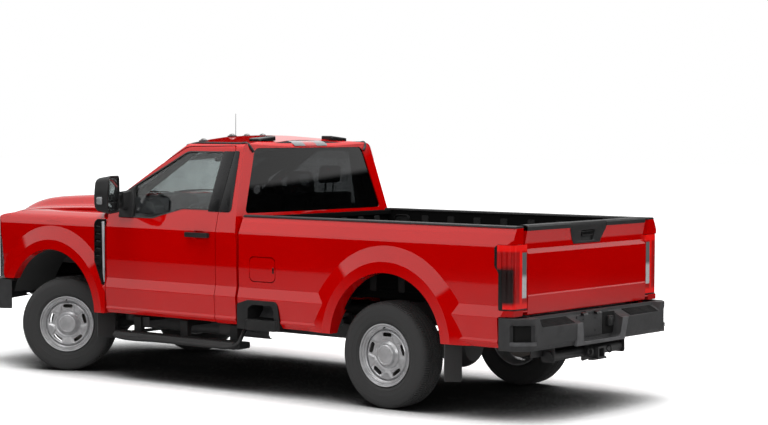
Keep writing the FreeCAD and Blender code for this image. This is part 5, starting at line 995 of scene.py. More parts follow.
class TRUCK_OT_wheels(Operator):
    """Fit the tyres with their tread and the pressed steel wheels"""
    bl_idname = "truck.wheels"
    bl_label = "Wheels and tyres"

    def execute(self, context):
        forms = {
            "tyre": (tyre_form(), "tyre", 30.0),
            "wheel": (wheel_form(), "wheel silver", 40.0),
            "wheel_cap": (turned(CAP, (0, 0, 0), steps=96), "wheel silver", 35.0),
            "brake_disc": (turned(ROTOR, (0, 0, 0), steps=72), "steel", 30.0),
            "valve": (valve_form(), "rubber", 35.0),
        }
        for corner in WHEELS:
            for name, (form, finish_name, angle) in forms.items():
                piece = at_wheel(form, corner)
                finish(piece, f"{name}_{corner}_detail", finish_name, f"wheel_{corner}", angle=angle)
                if name in {"tyre", "wheel"}:
                    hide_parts(f"{name}_{corner}")
        for form, _, _ in forms.values():
            bpy.data.objects.remove(form, do_unlink=True)
        return {"FINISHED"}


# Trim of the cab

WINDOW = ((0.178, 1.420, 0.016), (0.468, 1.420, 0.160), (0.793, 1.335, 0.160), (1.161, 1.335, 0.024),
          (1.179, 1.536, 0.040), (0.536, 1.886, 0.150), (0.134, 1.886, 0.020))


def side_skin(z):
    """Half width of the cab's side at a height above the shoulder."""
    lean = GLASS_LEAN if z > BELT_Z else SIDE_LEAN
    return BELT_Y - lean * (z - BELT_Z)


def leaned(piece):
    """Lay a piece made about y = 0 on the cab's left side."""
    return moved(piece, lambda at: at + Vector((0, side_skin(at.z), 0)))


def screen_point(y, z, lift=0.0):
    """Point on the windscreen, raised off it by lift."""
    x = SCREEN_FOOT_X - y * y / SCREEN_BOW - SCREEN_SLOPE * (z - SCREEN_FOOT_Z)
    return Vector((x + lift * 0.5, y, z + lift * 0.86))


def roof_moulding():
    """Moulding over the left roof joint, turning down to the rear window's corner."""
    points = [on_roof(x, 0.752) for x in (0.60, 0.48, 0.36, 0.24, 0.12, 0.04)]
    for angle, y in ((62, 0.750), (38, 0.738), (16, 0.718), (0, 0.694)):
        way = Vector((math.cos(math.radians(angle)), 0, -math.sin(math.radians(angle))))
        aim = Vector((0.04, y, 1.885))
        points.append(on_skin("cab", aim - way * 0.6, way))
    return pipe(points, 0.0135, sides=12)


def cowl():
    """Grained panel between the bonnet's rear edge and the windscreen."""
    rows = [-0.79 + 1.58 * step / 24 for step in range(25)]
    front = [(1.607 - 0.035 * y * y, y) for y in rows]
    back = [(1.562 - y * y / SCREEN_BOW, y) for y in reversed(rows)]
    panel = plate(front + back, "Z", 0.0, -0.012)
    return moved(panel, lambda at: Vector((at.x, at.y, at.z + 1.468 - 0.135 * at.y ** 2)))


def wiper(pivot_y, tip_y):
    """Wiper arm and blade parked low on the windscreen."""
    middle_y = (pivot_y + tip_y) / 2 - 0.06
    arm = pipe([screen_point(pivot_y, 1.452, 0.006), screen_point(pivot_y - 0.08, 1.482, 0.022),
                screen_point(middle_y, 1.512, 0.017)], 0.0055)
    blade = pipe([screen_point(tip_y + 0.56, 1.500, 0.009), screen_point(tip_y + 0.28, 1.514, 0.009),
                  screen_point(tip_y, 1.506, 0.009)], 0.0065)
    return joined(arm, blade)


class TRUCK_OT_cab_trim(Operator):
    """Window seals, dark posts, roof mouldings, cowl and wipers"""
    bl_idname = "truck.cab_trim"
    bl_label = "Cab trim"

    def execute(self, context):
        seal = leaned(ring(rounded(WINDOW, 10), "Y", -0.009, 0.012, 0.010, 0.004))
        pair(seal, "window_seal", "rubber", "door_left", bevel=0.0015)
        door_post = slab([(0.137, 1.8885, 0.006), (0.0216, 1.8885, 0.003), (0.0681, 1.409, 0.003),
                          (0.1815, 1.409, 0.006)], "Y", -0.002, 0.0055)
        pair(leaned(door_post), "door_post", "post black", "door_left", bevel=0.001)
        cab_post = slab([(0.0160, 1.8915, 0.003), (-0.0330, 1.8915, 0.014), (-0.0690, 1.409, 0.030),
                         (0.0626, 1.409, 0.003)], "Y", -0.002, 0.0055)
        pair(leaned(cab_post), "cab_post", "post black", bevel=0.001)
        edge = plate([(0.0217, 1.8885), (0.0205, 1.8885), (0.0670, 1.409), (0.0682, 1.409)], "Y", -0.020,
                     0.022)
        pair(leaned(edge), "post_edge", "liner", "door_left")
        pair(roof_moulding(), "roof_moulding", "black plastic")
        finish(cowl(), "cowl", "black plastic", bevel=0.002)
        finish(joined(wiper(0.62, 0.04), wiper(0.02, -0.60)), "wipers", "black plastic", angle=50.0)
        return {"FINISHED"}


def dome(place, size, sides=24):
    """Low lens dome of a size (length, width, height) standing on a place."""
    section = [(0.0, 0.0), (0.0, 1.0), (0.35, 0.96), (0.62, 0.82), (0.84, 0.56), (0.96, 0.28), (1.0, 0.0)]
    form = turned([(along * size[2], radius) for along, radius in section], (0, 0, 0), "Z", sides)
    return moved(form, lambda at: Vector((at.x * size[0] / 2, at.y * size[1] / 2, at.z)) + Vector(place))


def roof_pod(y):
    """Low warning pod moulded to the roof, with a set-back top."""
    foot = on_roof(0.05, y)
    shape = slab([(-0.060, -0.102, 0.020), (0.058, -0.106, 0.016), (0.058, 0.106, 0.016),
                  (-0.060, 0.102, 0.020)], "Z", -0.012, 0.034)
    pick(shape, lambda centre, normal: normal.z > 0.9)
    bpy.ops.mesh.inset(thickness=0.012)
    bpy.ops.transform.translate(value=(0.003, 0, 0.003))
    settle()
    lean = -0.096 if y > 0 else 0.096
    return moved(shape, lambda at: Vector((at.x, at.y, at.z + lean * at.y)) + foot)


class TRUCK_OT_roof_lamps(Operator):
    """Clearance lamps over the windscreen and the rear warning pods"""
    bl_idname = "truck.roof_lamps"
    bl_label = "Roof lamps"

    def execute(self, context):
        bases, lenses = [], []
        for y in (-0.59, -0.19, 0.0, 0.19, 0.59):
            foot = on_roof(0.638 - y * y / SCREEN_BOW, y)
            base = slab([(-0.047, -0.026, 0.018), (0.041, -0.022, 0.020), (0.041, 0.022, 0.020),
                         (-0.047, 0.026, 0.018)], "Z", -0.014, 0.022)
            bases.append(moved(base, lambda at: at + foot))
            lenses.append(dome(foot + Vector((-0.003, 0, 0.006)), (0.066, 0.038, 0.019)))
        pods = joined(roof_pod(0.45), roof_pod(-0.45))
        finish(pods, "roof_pods", "gloss black", bevel=0.004)
        finish(joined(*bases), "roof_lamp_bases", "black plastic", bevel=0.003)
        glazed = finish(joined(*lenses), "roof_lamp_lenses", "smoke lens")
        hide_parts("roof_lamps")
        return {"FINISHED"}


MIRROR_PIVOT = Vector((1.150, 1.080, 0.0))
MIRROR_TURN = math.radians(22)


def toed(piece):
    """Turn a piece of the mirror's head towards the driver."""
    turn = Matrix.Rotation(MIRROR_TURN, 3, "Z")
    return moved(piece, lambda at: turn @ (at - MIRROR_PIVOT) + MIRROR_PIVOT)


def mirror_head():
    """Upright mirror housing with a domed front, its pane recess and its rim."""
    face = rounded([(1.082, 1.382, 0.036), (1.306, 1.372, 0.050), (1.334, 1.450, 0.120),
                    (1.330, 1.560, 0.200), (1.300, 1.684, 0.060), (1.098, 1.682, 0.036)], 7)
    head = plate(face, "X", 1.072, 0.146)
    pick(head, lambda centre, normal: normal.x > 0.9)
    bpy.ops.transform.resize(value=(1, 0.80, 0.84), center_override=(1.218, 1.180, 1.525))
    bpy.ops.mesh.bevel(offset=0.045, segments=6, affect="EDGES")
    settle()
    pocket = slab([(1.092, 1.394, 0.026), (1.304, 1.388, 0.036), (1.318, 1.460, 0.10), (1.314, 1.560, 0.16),
                   (1.290, 1.668, 0.046), (1.106, 1.668, 0.028)], "X", 1.050, 0.038, 6)
    return softened(cut(head, pocket), 0.0025, 2)


def mirror_stay():
    """Sail on the window's front corner, with the mirror's two arms."""
    sail = leaned(slab([(1.008, 1.334, 0.008), (1.168, 1.334, 0.012), (1.176, 1.530, 0.030),
                        (1.052, 1.598, 0.010)], "Y", -0.020, 0.040))
    boss = slab([(1.070, 1.392, 0.02), (1.158, 1.392, 0.02), (1.150, 1.555, 0.02), (1.080, 1.565, 0.02)], "Y",
                0.905, 0.110)
    moved(boss, lambda at: Vector((at.x, at.y, 1.475 + (at.z - 1.475) * (1.0 if at.y < 0.95 else 0.84))))
    arms = [slab(square(1.098, z, 1.146, z + 0.034, 0.008), "Y", 0.990, 0.130) for z in (1.420, 1.492)]
    return softened(joined(sail, boss, *arms), 0.004, 2)


class TRUCK_OT_mirrors(Operator):
    """Door mirrors turned to the driver, with their two panes and marker lamps"""
    bl_idname = "truck.mirrors"
    bl_label = "Mirrors"

    def execute(self, context):
        pair(mirror_stay(), "mirror_stay", "black plastic", "door_left", angle=40.0)
        shells = pair(toed(mirror_head()), "mirror_head", "black plastic", "door_left", angle=40.0)
        for shell, side in zip(shells, ("left", "right")):
            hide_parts("mirror_" + side)
        upper = slab([(1.098, 1.478, 0.016), (1.308, 1.478, 0.016), (1.306, 1.570, 0.12),
                      (1.284, 1.660, 0.040), (1.110, 1.660, 0.024)], "X", 1.0765, 0.010)
        lower = slab([(1.100, 1.400, 0.022), (1.298, 1.395, 0.030), (1.308, 1.464, 0.016),
                      (1.098, 1.464, 0.012)], "X", 1.0765, 0.010)
        pair(toed(joined(upper, lower)), "mirror_pane", "mirror glass", "door_left", bevel=0.0015)
        lamp = brick((1.120, 1.284, 1.452), (1.170, 1.337, 1.512))
        pair(toed(lamp), "mirror_lamp", "pale lens", "door_left", bevel=0.010, segments=4)
        return {"FINISHED"}


class TRUCK_OT_fender_trim(Operator):
    """Bright strips and dark slats of the fender vents"""
    bl_idname = "truck.fender_trim"
    bl_label = "Fender trim"

    def execute(self, context):
        strip = slab([(1.3250, 1.294, 0.004), (1.3560, 1.294, 0.010), (1.3440, 0.860, 0.10),
                      (1.3300, 0.776, 0.003), (1.3250, 0.800, 0.003)], "Y", 0.9930, 0.0065)
        pair(strip, "vent_strip", "satin", bevel=0.0025)
        slat = slab([(1.352, -0.006, 0.003), (1.430, 0.004, 0.003), (1.430, 0.012, 0.003),
                     (1.352, 0.004, 0.003)], "Y", 0.975, 0.019)
        row = array(slat, 7, (0, 0, 0.062))
        pair(moved(row, lambda at: at + Vector((0, 0, 0.872))), "vent_slats", "black plastic", bevel=0.001)
        return {"FINISHED"}


# Seats

SWELL_FRAMES = 20


def puffed(piece, cap):
    """Swell a closed form like a sewn cushion, each point by no more than cap."""
    modified(piece, "REMESH", mode="VOXEL", voxel_size=0.010)
    rest = [corner.co.copy() for corner in piece.data.vertices]
    take(piece)
    bpy.ops.object.modifier_add(type="CLOTH")
    swelling = piece.modifiers[-1]
    swelling.settings.use_pressure = True
    swelling.settings.uniform_pressure_force = 4.0
    swelling.settings.effector_weights.gravity = 0.0
    swelling.point_cache.frame_start = 1
    swelling.point_cache.frame_end = SWELL_FRAMES
    for step in range(1, SWELL_FRAMES + 1):
        bpy.context.scene.frame_set(step)
    bpy.ops.object.modifier_apply(modifier=swelling.name)
    bpy.context.scene.frame_set(1)
    for corner, start in zip(piece.data.vertices, rest):
        change = corner.co - start
        if change.length > cap:
            corner.co = start + change.normalized() * cap
    return modified(piece, "SUBSURF", levels=1, render_levels=1)


def groove(distance, width=0.006):
    """Depth of a sewn channel at a distance from its seam, from 0 to 1."""
    return math.exp(-(distance / width) ** 2)


def seat_cushion(low_y, high_y):
    """Bench cushion with two sewn channels across and one along each side."""
    side = rounded([(0.150, 0.915, 0.030), (0.632, 0.930, 0.035), (0.646, 1.000, 0.036),
                    (0.190, 0.978, 0.030)])
    pad = puffed(softened(plate(side, "Y", low_y, high_y - low_y), 0.030), 0.014)

    def sewn(at):
        across = max(groove(at.x - 0.300), groove(at.x - 0.440))
        along = max(groove(at.y - low_y - 0.07), groove(at.y - high_y + 0.07))
        return Vector((at.x, at.y, at.z - (0.007 * max(across, along) if at.z > 0.96 else 0.0)))
    return moved(pad, sewn)


def seat_back(low_y, high_y):
    """Backrest with its sewn channels."""
    side = rounded([(0.158, 0.990, 0.040), (0.248, 0.990, 0.045), (0.158, 1.548, 0.046),
                    (0.072, 1.548, 0.046), (0.090, 1.020, 0.040)])
    pad = puffed(softened(plate(side, "Y", low_y, high_y - low_y), 0.032), 0.014)

    def sewn(at):
        front = 0.235 - 0.16 * (at.z - 0.990)
        across = max(groove(at.z - 1.180), groove(at.z - 1.380))
        along = max(groove(at.y - low_y - 0.08), groove(at.y - high_y + 0.08))
        share = 0.007 * max(across, along)
        return Vector((at.x - (share if at.x > front - 0.05 else 0.0), at.y, at.z))
    return moved(pad, sewn)


def head_rest(middle_y):
    """Padded head restraint."""
    side = rounded([(0.078, 1.610, 0.030), (0.150, 1.610, 0.030), (0.128, 1.760, 0.036),
                    (0.062, 1.755, 0.028)])
    return puffed(softened(plate(side, "Y", middle_y - 0.120, 0.240), 0.030), 0.010)


class TRUCK_OT_seats(Operator):
    """Padded split bench with its head restraints and bases"""
    bl_idname = "truck.seats"
    bl_label = "Seats"

    def execute(self, context):
        for form, name in ((seat_cushion(0.180, 0.735), "seat_cushion"), (seat_back(0.190, 0.725),
                                                                          "seat_back"), (head_rest(0.455),
                                                                                         "head_rest")):
            for pad in pair(form, name, "cloth", angle=60.0):
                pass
        for form, name in ((seat_cushion(-0.145, 0.145), "seat_cushion_middle"),
                           (seat_back(-0.145, 0.145), "seat_back_middle")):
            finish(form, name, "cloth", angle=60.0)
        posts = joined(bar((0.112, 0.405, 1.53), (0.104, 0.405, 1.64), 0.007),
                       bar((0.112, 0.505, 1.53), (0.104, 0.505, 1.64), 0.007))
        pair(posts, "head_rest_posts", "steel")
        base = slab([(0.205, 0.646, 0.01), (0.575, 0.646, 0.01), (0.600, 0.915, 0.02), (0.180, 0.905, 0.02)],
                    "Y", 0.280, 0.400)
        pair(base, "seat_base", "interior", bevel=0.006)
        box = slab([(0.205, 0.760, 0.01), (0.540, 0.760, 0.01), (0.560, 0.915, 0.02), (0.190, 0.905, 0.02)],
                   "Y", -0.110, 0.220)
        console = finish(box, "seat_base_middle", "interior", bevel=0.006)
        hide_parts("seats")
        return {"FINISHED"}


class TRUCK_OT_cabin(Operator):
    """Interior mirror, sun visors, grab handles and dash pad"""
    bl_idname = "truck.cabin"
    bl_label = "Cabin fittings"

    def execute(self, context):
        glass_piece = slab([(-0.125, 1.786, 0.02), (0.125, 1.786, 0.02), (0.118, 1.850, 0.022),
                            (-0.118, 1.850, 0.022)], "X", 0.872, 0.026)
        stem = bar((0.890, 0, 1.825), (0.962, 0, 1.852), 0.009)
        finish(joined(glass_piece, stem), "cabin_mirror", "interior", bevel=0.004)
        visor = slab([(0.60, 0.215, 0.03), (0.76, 0.215, 0.03), (0.74, 0.610, 0.05), (0.60, 0.610, 0.03)],
                     "Z", 0.0, 0.020)
        lean = moved(visor, lambda at: Vector((at.x, at.y,
                                               at.z + 1.880 - 0.30 * (at.x - 0.60) - 0.06 * at.y)))
        pair(lean, "sun_visor", "interior", bevel=0.008)
        handle = pipe([(1.120, 0.846, 1.560), (1.080, 0.818, 1.590), (0.940, 0.786, 1.672),
                       (0.900, 0.800, 1.700)], 0.013, sides=12)
        pair(handle, "grab_handle", "interior")
        pad = slab([(1.030, 1.350, 0), (1.030, 1.420, 0.030), (1.120, 1.480, 0.060), (1.300, 1.500, 0.060),
                    (1.400, 1.480, 0.020), (1.400, 1.350, 0)], "Y", -0.700, 1.400)
        hood = slab([(0.210, 1.380, 0), (0.590, 1.380, 0), (0.575, 1.500, 0.060), (0.400, 1.530, 0.400),
                     (0.225, 1.500, 0.060)], "X", 0.985, 0.200)
        finish(joined(softened(pad, 0.012), softened(hood, 0.010)), "dash_pad", "interior", angle=40.0)
        return {"FINISHED"}


# Bed and tailgate

class TRUCK_OT_tailgate_trim(Operator):
    """Latch panel with its pull, mouldings over the gate's top, and a gloss-black slab of painted shade for
    the fuel door's finger notch
    """
    bl_idname = "truck.tailgate_trim"
    bl_label = "Tailgate trim"

    def execute(self, context):
        section = [(-2.7765, 1.236), (-2.7735, 1.262), (-2.7800, 1.300), (-2.7880, 1.340), (-2.7910, 1.376),
                   (-2.7880, 1.3960), (-2.7320, 1.3990), (-2.7300, 1.3880), (-2.7520, 1.3880),
                   (-2.7520, 1.236)]
        panel = plate(section, "Y", -0.224, 0.448)
        moved(panel, lambda at: Vector((at.x, at.y * min(1.10, 0.80 + 2.8 * (at.z - 1.236)), at.z)))
        pocket = slab([(-0.082, 1.256, 0.014), (0.082, 1.256, 0.014), (0.098, 1.334, 0.016),
                       (-0.098, 1.334, 0.016)], "X", -2.83, 0.074)
        finish(cut(panel, pocket), "latch_panel", "black plastic", "tailgate", bevel=0.003)
        pull = slab([(-0.070, 1.290, 0.01), (0.070, 1.290, 0.01), (0.084, 1.326, 0.01),
                     (-0.084, 1.326, 0.01)], "X", -2.7800, 0.014)
        handle = finish(pull, "latch_pull", "gloss black", "tailgate", bevel=0.003)
        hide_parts("tailgate_handle")
        cap = plate([(-2.7865, 1.3560), (-2.7925, 1.3575), (-2.7940, 1.3840), (-2.7840, 1.3960),
                     (-2.7450, 1.4005), (-2.7310, 1.3980), (-2.7285, 1.3902), (-2.7285, 1.3600),
                     (-2.7310, 1.3600)], "Y", 0.240, 0.560)
        pair(cap, "tailgate_cap", "black plastic", "tailgate")
        # Gloss-black slab on the painted fuel door where its finger notch is: painted shade.
        notch = slab([(-0.556, 0.950, 0.010), (-0.538, 0.950, 0.008), (-0.538, 0.998, 0.008),
                      (-0.556, 0.998, 0.010)], "Y", 0.9860, 0.0036)
        finish(notch, "fuel_door_notch_shade", "gloss black", "fuel_door", bevel=0.0012)
        return {"FINISHED"}


class TRUCK_OT_bed_liner(Operator):
    """Ribs, lamp boxes and lashing eyes of the bed liner"""
    bl_idname = "truck.bed_liner"
    bl_label = "Bed liner"

    def execute(self, context):
        rib = slab([(-0.036, 1.340, 0.012), (0.036, 1.340, 0.012), (0.030, 0.862, 0.012),
                    (-0.030, 0.862, 0.012)], "Y", 0.843, 0.010)
        row = array(moved(rib, lambda at: at + Vector((-0.62, 0, 0))), 8, (-0.27, 0, 0))
        pair(row, "side_ribs", "liner", bevel=0.003)
        front = slab(square(-0.686, 1.336, -0.614, 0.862, 0.012), "X", -0.262, 0.010)
        finish(array(front, 7, (0, 0.2166, 0)), "front_wall_ribs", "liner", bevel=0.003)
        strip = plate([(-0.655, 0.8450), (-0.648, 0.8530), (-0.602, 0.8530), (-0.595, 0.8450)], "X", -2.690,
                      2.42)
        finish(array(strip, 13, (0, 0.1042, 0)), "floor_ribs", "liner")
        box = slab([(-0.470, 1.235, 0.03), (-0.300, 1.235, 0.03), (-0.325, 1.330, 0.03),
                    (-0.445, 1.330, 0.03)], "Y", 0.826, 0.026)
        frame_band = ring(rounded([(-0.482, 1.225, 0.034), (-0.288, 1.225, 0.034), (-0.316, 1.342, 0.034),
                                   (-0.454, 1.342, 0.034)]), "Y", 0.820, 0.031, 0.008)
        pair(joined(box, frame_band), "bed_lamp_box", "liner", bevel=0.003)
        eyes = []
        for x, z in ((-0.36, 0.96), (-2.55, 0.96), (-0.40, 1.18), (-2.58, 1.22)):
            foot = slab(square(x - 0.028, z - 0.034, x + 0.028, z + 0.034, 0.010), "Y", 0.842, 0.009)
            loop = pipe([(x - 0.018, 0.843, z + 0.010), (x - 0.016, 0.818, z - 0.004), (x, 0.810, z - 0.016),
                         (x + 0.016, 0.818, z - 0.004), (x + 0.018, 0.843, z + 0.010)], 0.0048)
            eyes += [softened(foot, 0.002, 2), loop]
        pair(joined(*eyes), "lashing_eyes", "black metal")
        return {"FINISHED"}


# Bumpers and steps

def rear_bumper_form():
    """Moulded rear bumper: raised corners, sloped step tops, centre notch and corner pockets."""
    plan = rounded([(-2.681, 1.005, 0.014), (-2.681, 0.960, 0), (-2.817, 0.940, 0), (-2.817, -0.940, 0),
                    (-2.681, -0.960, 0), (-2.681, -1.005, 0.014), (-2.824, -1.005, 0.060),
                    (-2.918, -0.900, 0.110), (-2.943, -0.300, 0.900), (-2.943, 0.300, 0.900),
                    (-2.918, 0.900, 0.110), (-2.824, 1.005, 0.060)], 8)
    beam = plate(plan, "Z", 0.517, 0.230)
    profile = rounded([(-2.900, 0.500, 0), (-2.904, 0.517, 0.014), (-2.943, 0.566, 0.020),
                       (-2.943, 0.726, 0.014), (-2.921, 0.747, 0.008), (-2.921, 0.770, 0), (-2.960, 0.770, 0),
                       (-2.970, 0.500, 0)], 4)
    cutters = [plate(profile, "Y", -1.1, 2.2)]
    ramp = [(-2.970, 0.676), (-2.928, 0.678), (-2.838, 0.722), (-2.838, 0.770), (-2.970, 0.770)]
    for low_y, high_y in ((0.150, 0.800), (-0.800, -0.150)):
        one = plate(ramp, "Y", low_y, high_y - low_y)
        flare = 0.5 if low_y > 0 else -0.5
        moved(one, lambda at: Vector((at.x, at.y + flare * (at.z - 0.676) * (abs(at.y) > 0.5), at.z)))
        cutters.append(softened(one, 0.010, 3))
    cutters.append(slab([(-0.206, 0.538, 0.030), (0.286, 0.538, 0.030), (0.304, 0.780, 0),
                         (-0.262, 0.780, 0)], "X", -2.990, 0.122))
    corner = softened(plate([(-2.980, 0.872), (-2.886, 0.884), (-2.8095, 0.970), (-2.782, 0.970),
                             (-2.782, 1.060), (-2.980, 1.060)], "Z", 0.572, 0.130), 0.018, 4)
    cutters += [corner, mirrored(corner)]
    cutters.append(plate([(-2.800, 0.930), (-2.800, -0.930), (-2.840, -0.930), (-2.840, 0.930)], "Z", 0.50,
                         0.18))
    return softened(cut(beam, *cutters), 0.0045, 3)


class TRUCK_OT_bumpers(Operator):
    """Rear bumper with step pads, corner steps, plate recess, plug, lamps, beam and chain loops"""
    bl_idname = "truck.bumpers"
    bl_label = "Bumpers"

    def execute(self, context):
        bumper = finish(rear_bumper_form(), "rear_bumper_shell", "bumper grey", angle=40.0)
        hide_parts("rear_bumper")
        band = [(0.386, 0.512), (0.374, 0.679), (0.304, 0.679), (0.288, 0.548), (0.276, 0.537),
                (-0.196, 0.537), (-0.208, 0.548), (-0.246, 0.679), (-0.326, 0.679), (-0.270, 0.512)]
        # The band round the plate notch takes the paler bumper grey: painted light.
        finish(plate(band, "X", -2.9440, 0.026), "notch_band", "painted lit bumper grey", bevel=0.004)
        for low_y, name in ((0.378, "left"), (-0.790, "right")):
            pad = plate([(-2.9240, 0.6815), (-2.9220, 0.6845), (-2.8400, 0.7250), (-2.8400, 0.7200)], "Y",
                        low_y, 0.412)
            rib = plate([(-2.915, 0.6875), (-2.912, 0.6930), (-2.907, 0.6955), (-2.903, 0.6935)], "Y",
                        low_y + 0.014, 0.384)
            finish(joined(pad, array(rib, 5, (0.0150, 0, 0.0074))), "step_pad_" + name, "liner", bevel=0.001)
        # Near-black sheet on the corner pocket's floor and walls: painted shade.
        shadow = plate([(-2.8885, 0.876), (-2.8880, 0.8855), (-2.8100, 0.9725), (-2.7845, 0.9725),
                        (-2.7845, 0.9680), (-2.8050, 0.9680), (-2.8840, 0.876)], "Z", 0.574, 0.126)
        pair(shadow, "corner_pocket_shade", "liner")
        lip = slab([(-2.9215, 0.876, 0), (-2.9215, 0.901, 0.090), (-2.826, 1.0075, 0.058),
                    (-2.786, 1.0075, 0), (-2.786, 0.972, 0), (-2.809, 0.972, 0), (-2.884, 0.888, 0),
                    (-2.884, 0.876, 0)], "Z", 0.556, 0.026, 7)
        # The corner lips take the paler bumper grey: painted highlight.
        pair(lip, "corner_lip", "painted lit bumper grey", bevel=0.005, segments=3)
        back = slab([(-0.060, 0.560, 0.012), (0.280, 0.560, 0.012), (0.286, 0.722, 0.012),
                     (-0.060, 0.722, 0.012)], "X", -2.8765, 0.010)
        studs = [bar((-2.882, y, z), (-2.874, y, z), 0.006, 12) for y in (0.04, 0.20) for z in (0.60, 0.69)]
        finish(joined(back, *studs), "plate_holder", "bumper grey", bevel=0.002)
        side = slab([(-0.212, 0.560, 0.012), (-0.070, 0.560, 0.012), (-0.070, 0.722, 0.012),
                     (-0.240, 0.722, 0.012)], "X", -2.8735, 0.006)
        finish(side, "plug_panel", "liner", bevel=0.002)
        plug = slab([(-0.186, 0.618, 0.010), (-0.118, 0.618, 0.010), (-0.118, 0.694, 0.010),
                     (-0.190, 0.694, 0.010)], "X", -2.896, 0.026)
        lid = slab(square(-0.176, 0.630, -0.130, 0.676, 0.006), "X", -2.902, 0.008)
        finish(joined(plug, lid), "trailer_plug", "black plastic", bevel=0.003)
        for y, name in ((0.20, "left"), (0.02, "right")):
            shade = plate([(-2.905, 0.722), (-2.872, 0.722), (-2.872, 0.742), (-2.895, 0.738)], "Y", y - 0.03,
                          0.06)
            finish(shade, "plate_lamp_" + name, "gloss black", bevel=0.003)
        cross = plate([(-2.812, 0.742), (-2.700, 0.742), (-2.700, 0.430), (-2.712, 0.430), (-2.712, 0.600),
                       (-2.812, 0.600)], "Y", -0.630, 1.260)
        finish(cross, "bumper_beam", "black metal", bevel=0.004)
        loops = [pipe([(-2.902, y, 0.470), (-2.914, y, 0.448), (-2.902, y, 0.426), (-2.882, y, 0.432),
                       (-2.878, y, 0.462)], 0.007, closed=True) for y in (0.130, -0.130)]
        finish(joined(*loops), "chain_loops", "black metal")
        return {"FINISHED"}


def at_lamp(piece):
    """Turn a piece made at the origin to lie on the left head lamp."""
    turn = Matrix.Rotation(math.radians(15.5), 3, "Z")
    return moved(piece, lambda at: turn @ at + Vector((2.7725, 0.785, 0)))


class TRUCK_OT_front_lamps(Operator):
    """Head lamp bezels, reflectors and light bands, and the tow hooks"""
    bl_idname = "truck.front_lamps"
    bl_label = "Front lamps"

    def execute(self, context):
        face = rounded([(-0.108, 0.800, 0.012), (0.112, 0.800, 0.030), (0.112, 1.190, 0.030),
                        (-0.108, 1.214, 0.012)])
        bezel = plate(face, "X", -0.012, 0.0145)
        wells = [slab(square(-0.062, z, 0.060, z + 0.086, 0.014), "X", -0.006, 0.02) for z in (1.046, 0.898)]
        pair(at_lamp(cut(bezel, *wells)), "lamp_bezel", "gloss black", bevel=0.002)
        lamps = [slab(square(-0.054, z, 0.052, z + 0.070, 0.012), "X", -0.006, 0.007) for z in (1.054, 0.906)]
        pair(at_lamp(joined(*lamps)), "lamp_reflector", "pale lens", bevel=0.002)
        band = slab([(-0.100, 0.812, 0.010), (0.104, 0.812, 0.026), (0.104, 1.180, 0.026),
                     (-0.100, 1.200, 0.010), (-0.100, 1.178, 0), (0.070, 1.160, 0.014), (0.070, 0.834, 0.014),
                     (-0.100, 0.834, 0)], "X", 0.0015, 0.0035)
        pair(at_lamp(band), "lamp_band", "pale lens", bevel=0.0008)
        hooks = [pipe([(2.815, y - 0.030, 0.575), (2.870, y - 0.034, 0.575), (2.915, y, 0.575),
                       (2.870, y + 0.034, 0.575), (2.815, y + 0.030, 0.575)], 0.011, sides=12)
                 for y in (0.40, -0.40)]
        finish(joined(*hooks), "tow_hooks", "black metal")
        return {"FINISHED"}


class TRUCK_OT_steps(Operator):
    """Treads and trays of the bed's side steps, and the running boards' lugs and rails"""
    bl_idname = "truck.steps"
    bl_label = "Steps"

    def execute(self, context):
        tread = slab([(-0.290, 0.880, 0.01), (-0.290, 1.012, 0.040), (-0.316, 1.032, 0.050),
                      (-0.590, 1.032, 0.050), (-0.618, 1.012, 0.040), (-0.618, 0.880, 0.01)], "Z", 0.520,
                     0.066, 6)
        lip = softened(tread, 0.020, 5)
        grips = array(slab(square(-0.345, 0.905, -0.335, 1.000, 0.004), "Z", 0.5845, 0.0045), 9,
                      (-0.026, 0, 0))
        pair(joined(lip, grips), "side_step_tread", "black plastic", angle=40.0)
        tray = plate([(0.826, 0.592), (0.826, 0.680), (0.836, 0.690), (0.836, 0.640), (0.880, 0.592)], "X",
                     -0.596, 0.294)
        # The tray sits in deep shade but takes the paler bumper grey: painted light.
        pair(tray, "side_step_tray", "painted lit bumper grey", bevel=0.003)
        lug_piece = slab(square(0.120, 0.985, 0.138, 1.003, 0.006), "Z", 0.3870, 0.0050, 2)
        outer_row = array(moved(lug_piece, lambda at: at + Vector((-0.22, 0, 0))), 38, (0.034, 0, 0))
        inner_row = moved(twin(outer_row), lambda at: at + Vector((0.017, -0.034, 0)))
        last_row = moved(twin(outer_row), lambda at: at + Vector((0.0, -0.068, 0)))
        pair(joined(outer_row, inner_row, last_row), "board_tread", "black plastic")
        rail = pipe([(-0.150, 0.860, 0.500), (-0.176, 0.930, 0.450), (-0.165, 0.985, 0.375),
                     (-0.100, 1.006, 0.350), (0.050, 1.010, 0.346), (0.600, 1.010, 0.346),
                     (1.150, 1.010, 0.346), (1.220, 0.985, 0.360)], 0.016, sides=12)
        pair(rail, "board_rail", "black plastic")
        return {"FINISHED"}


# Underbody

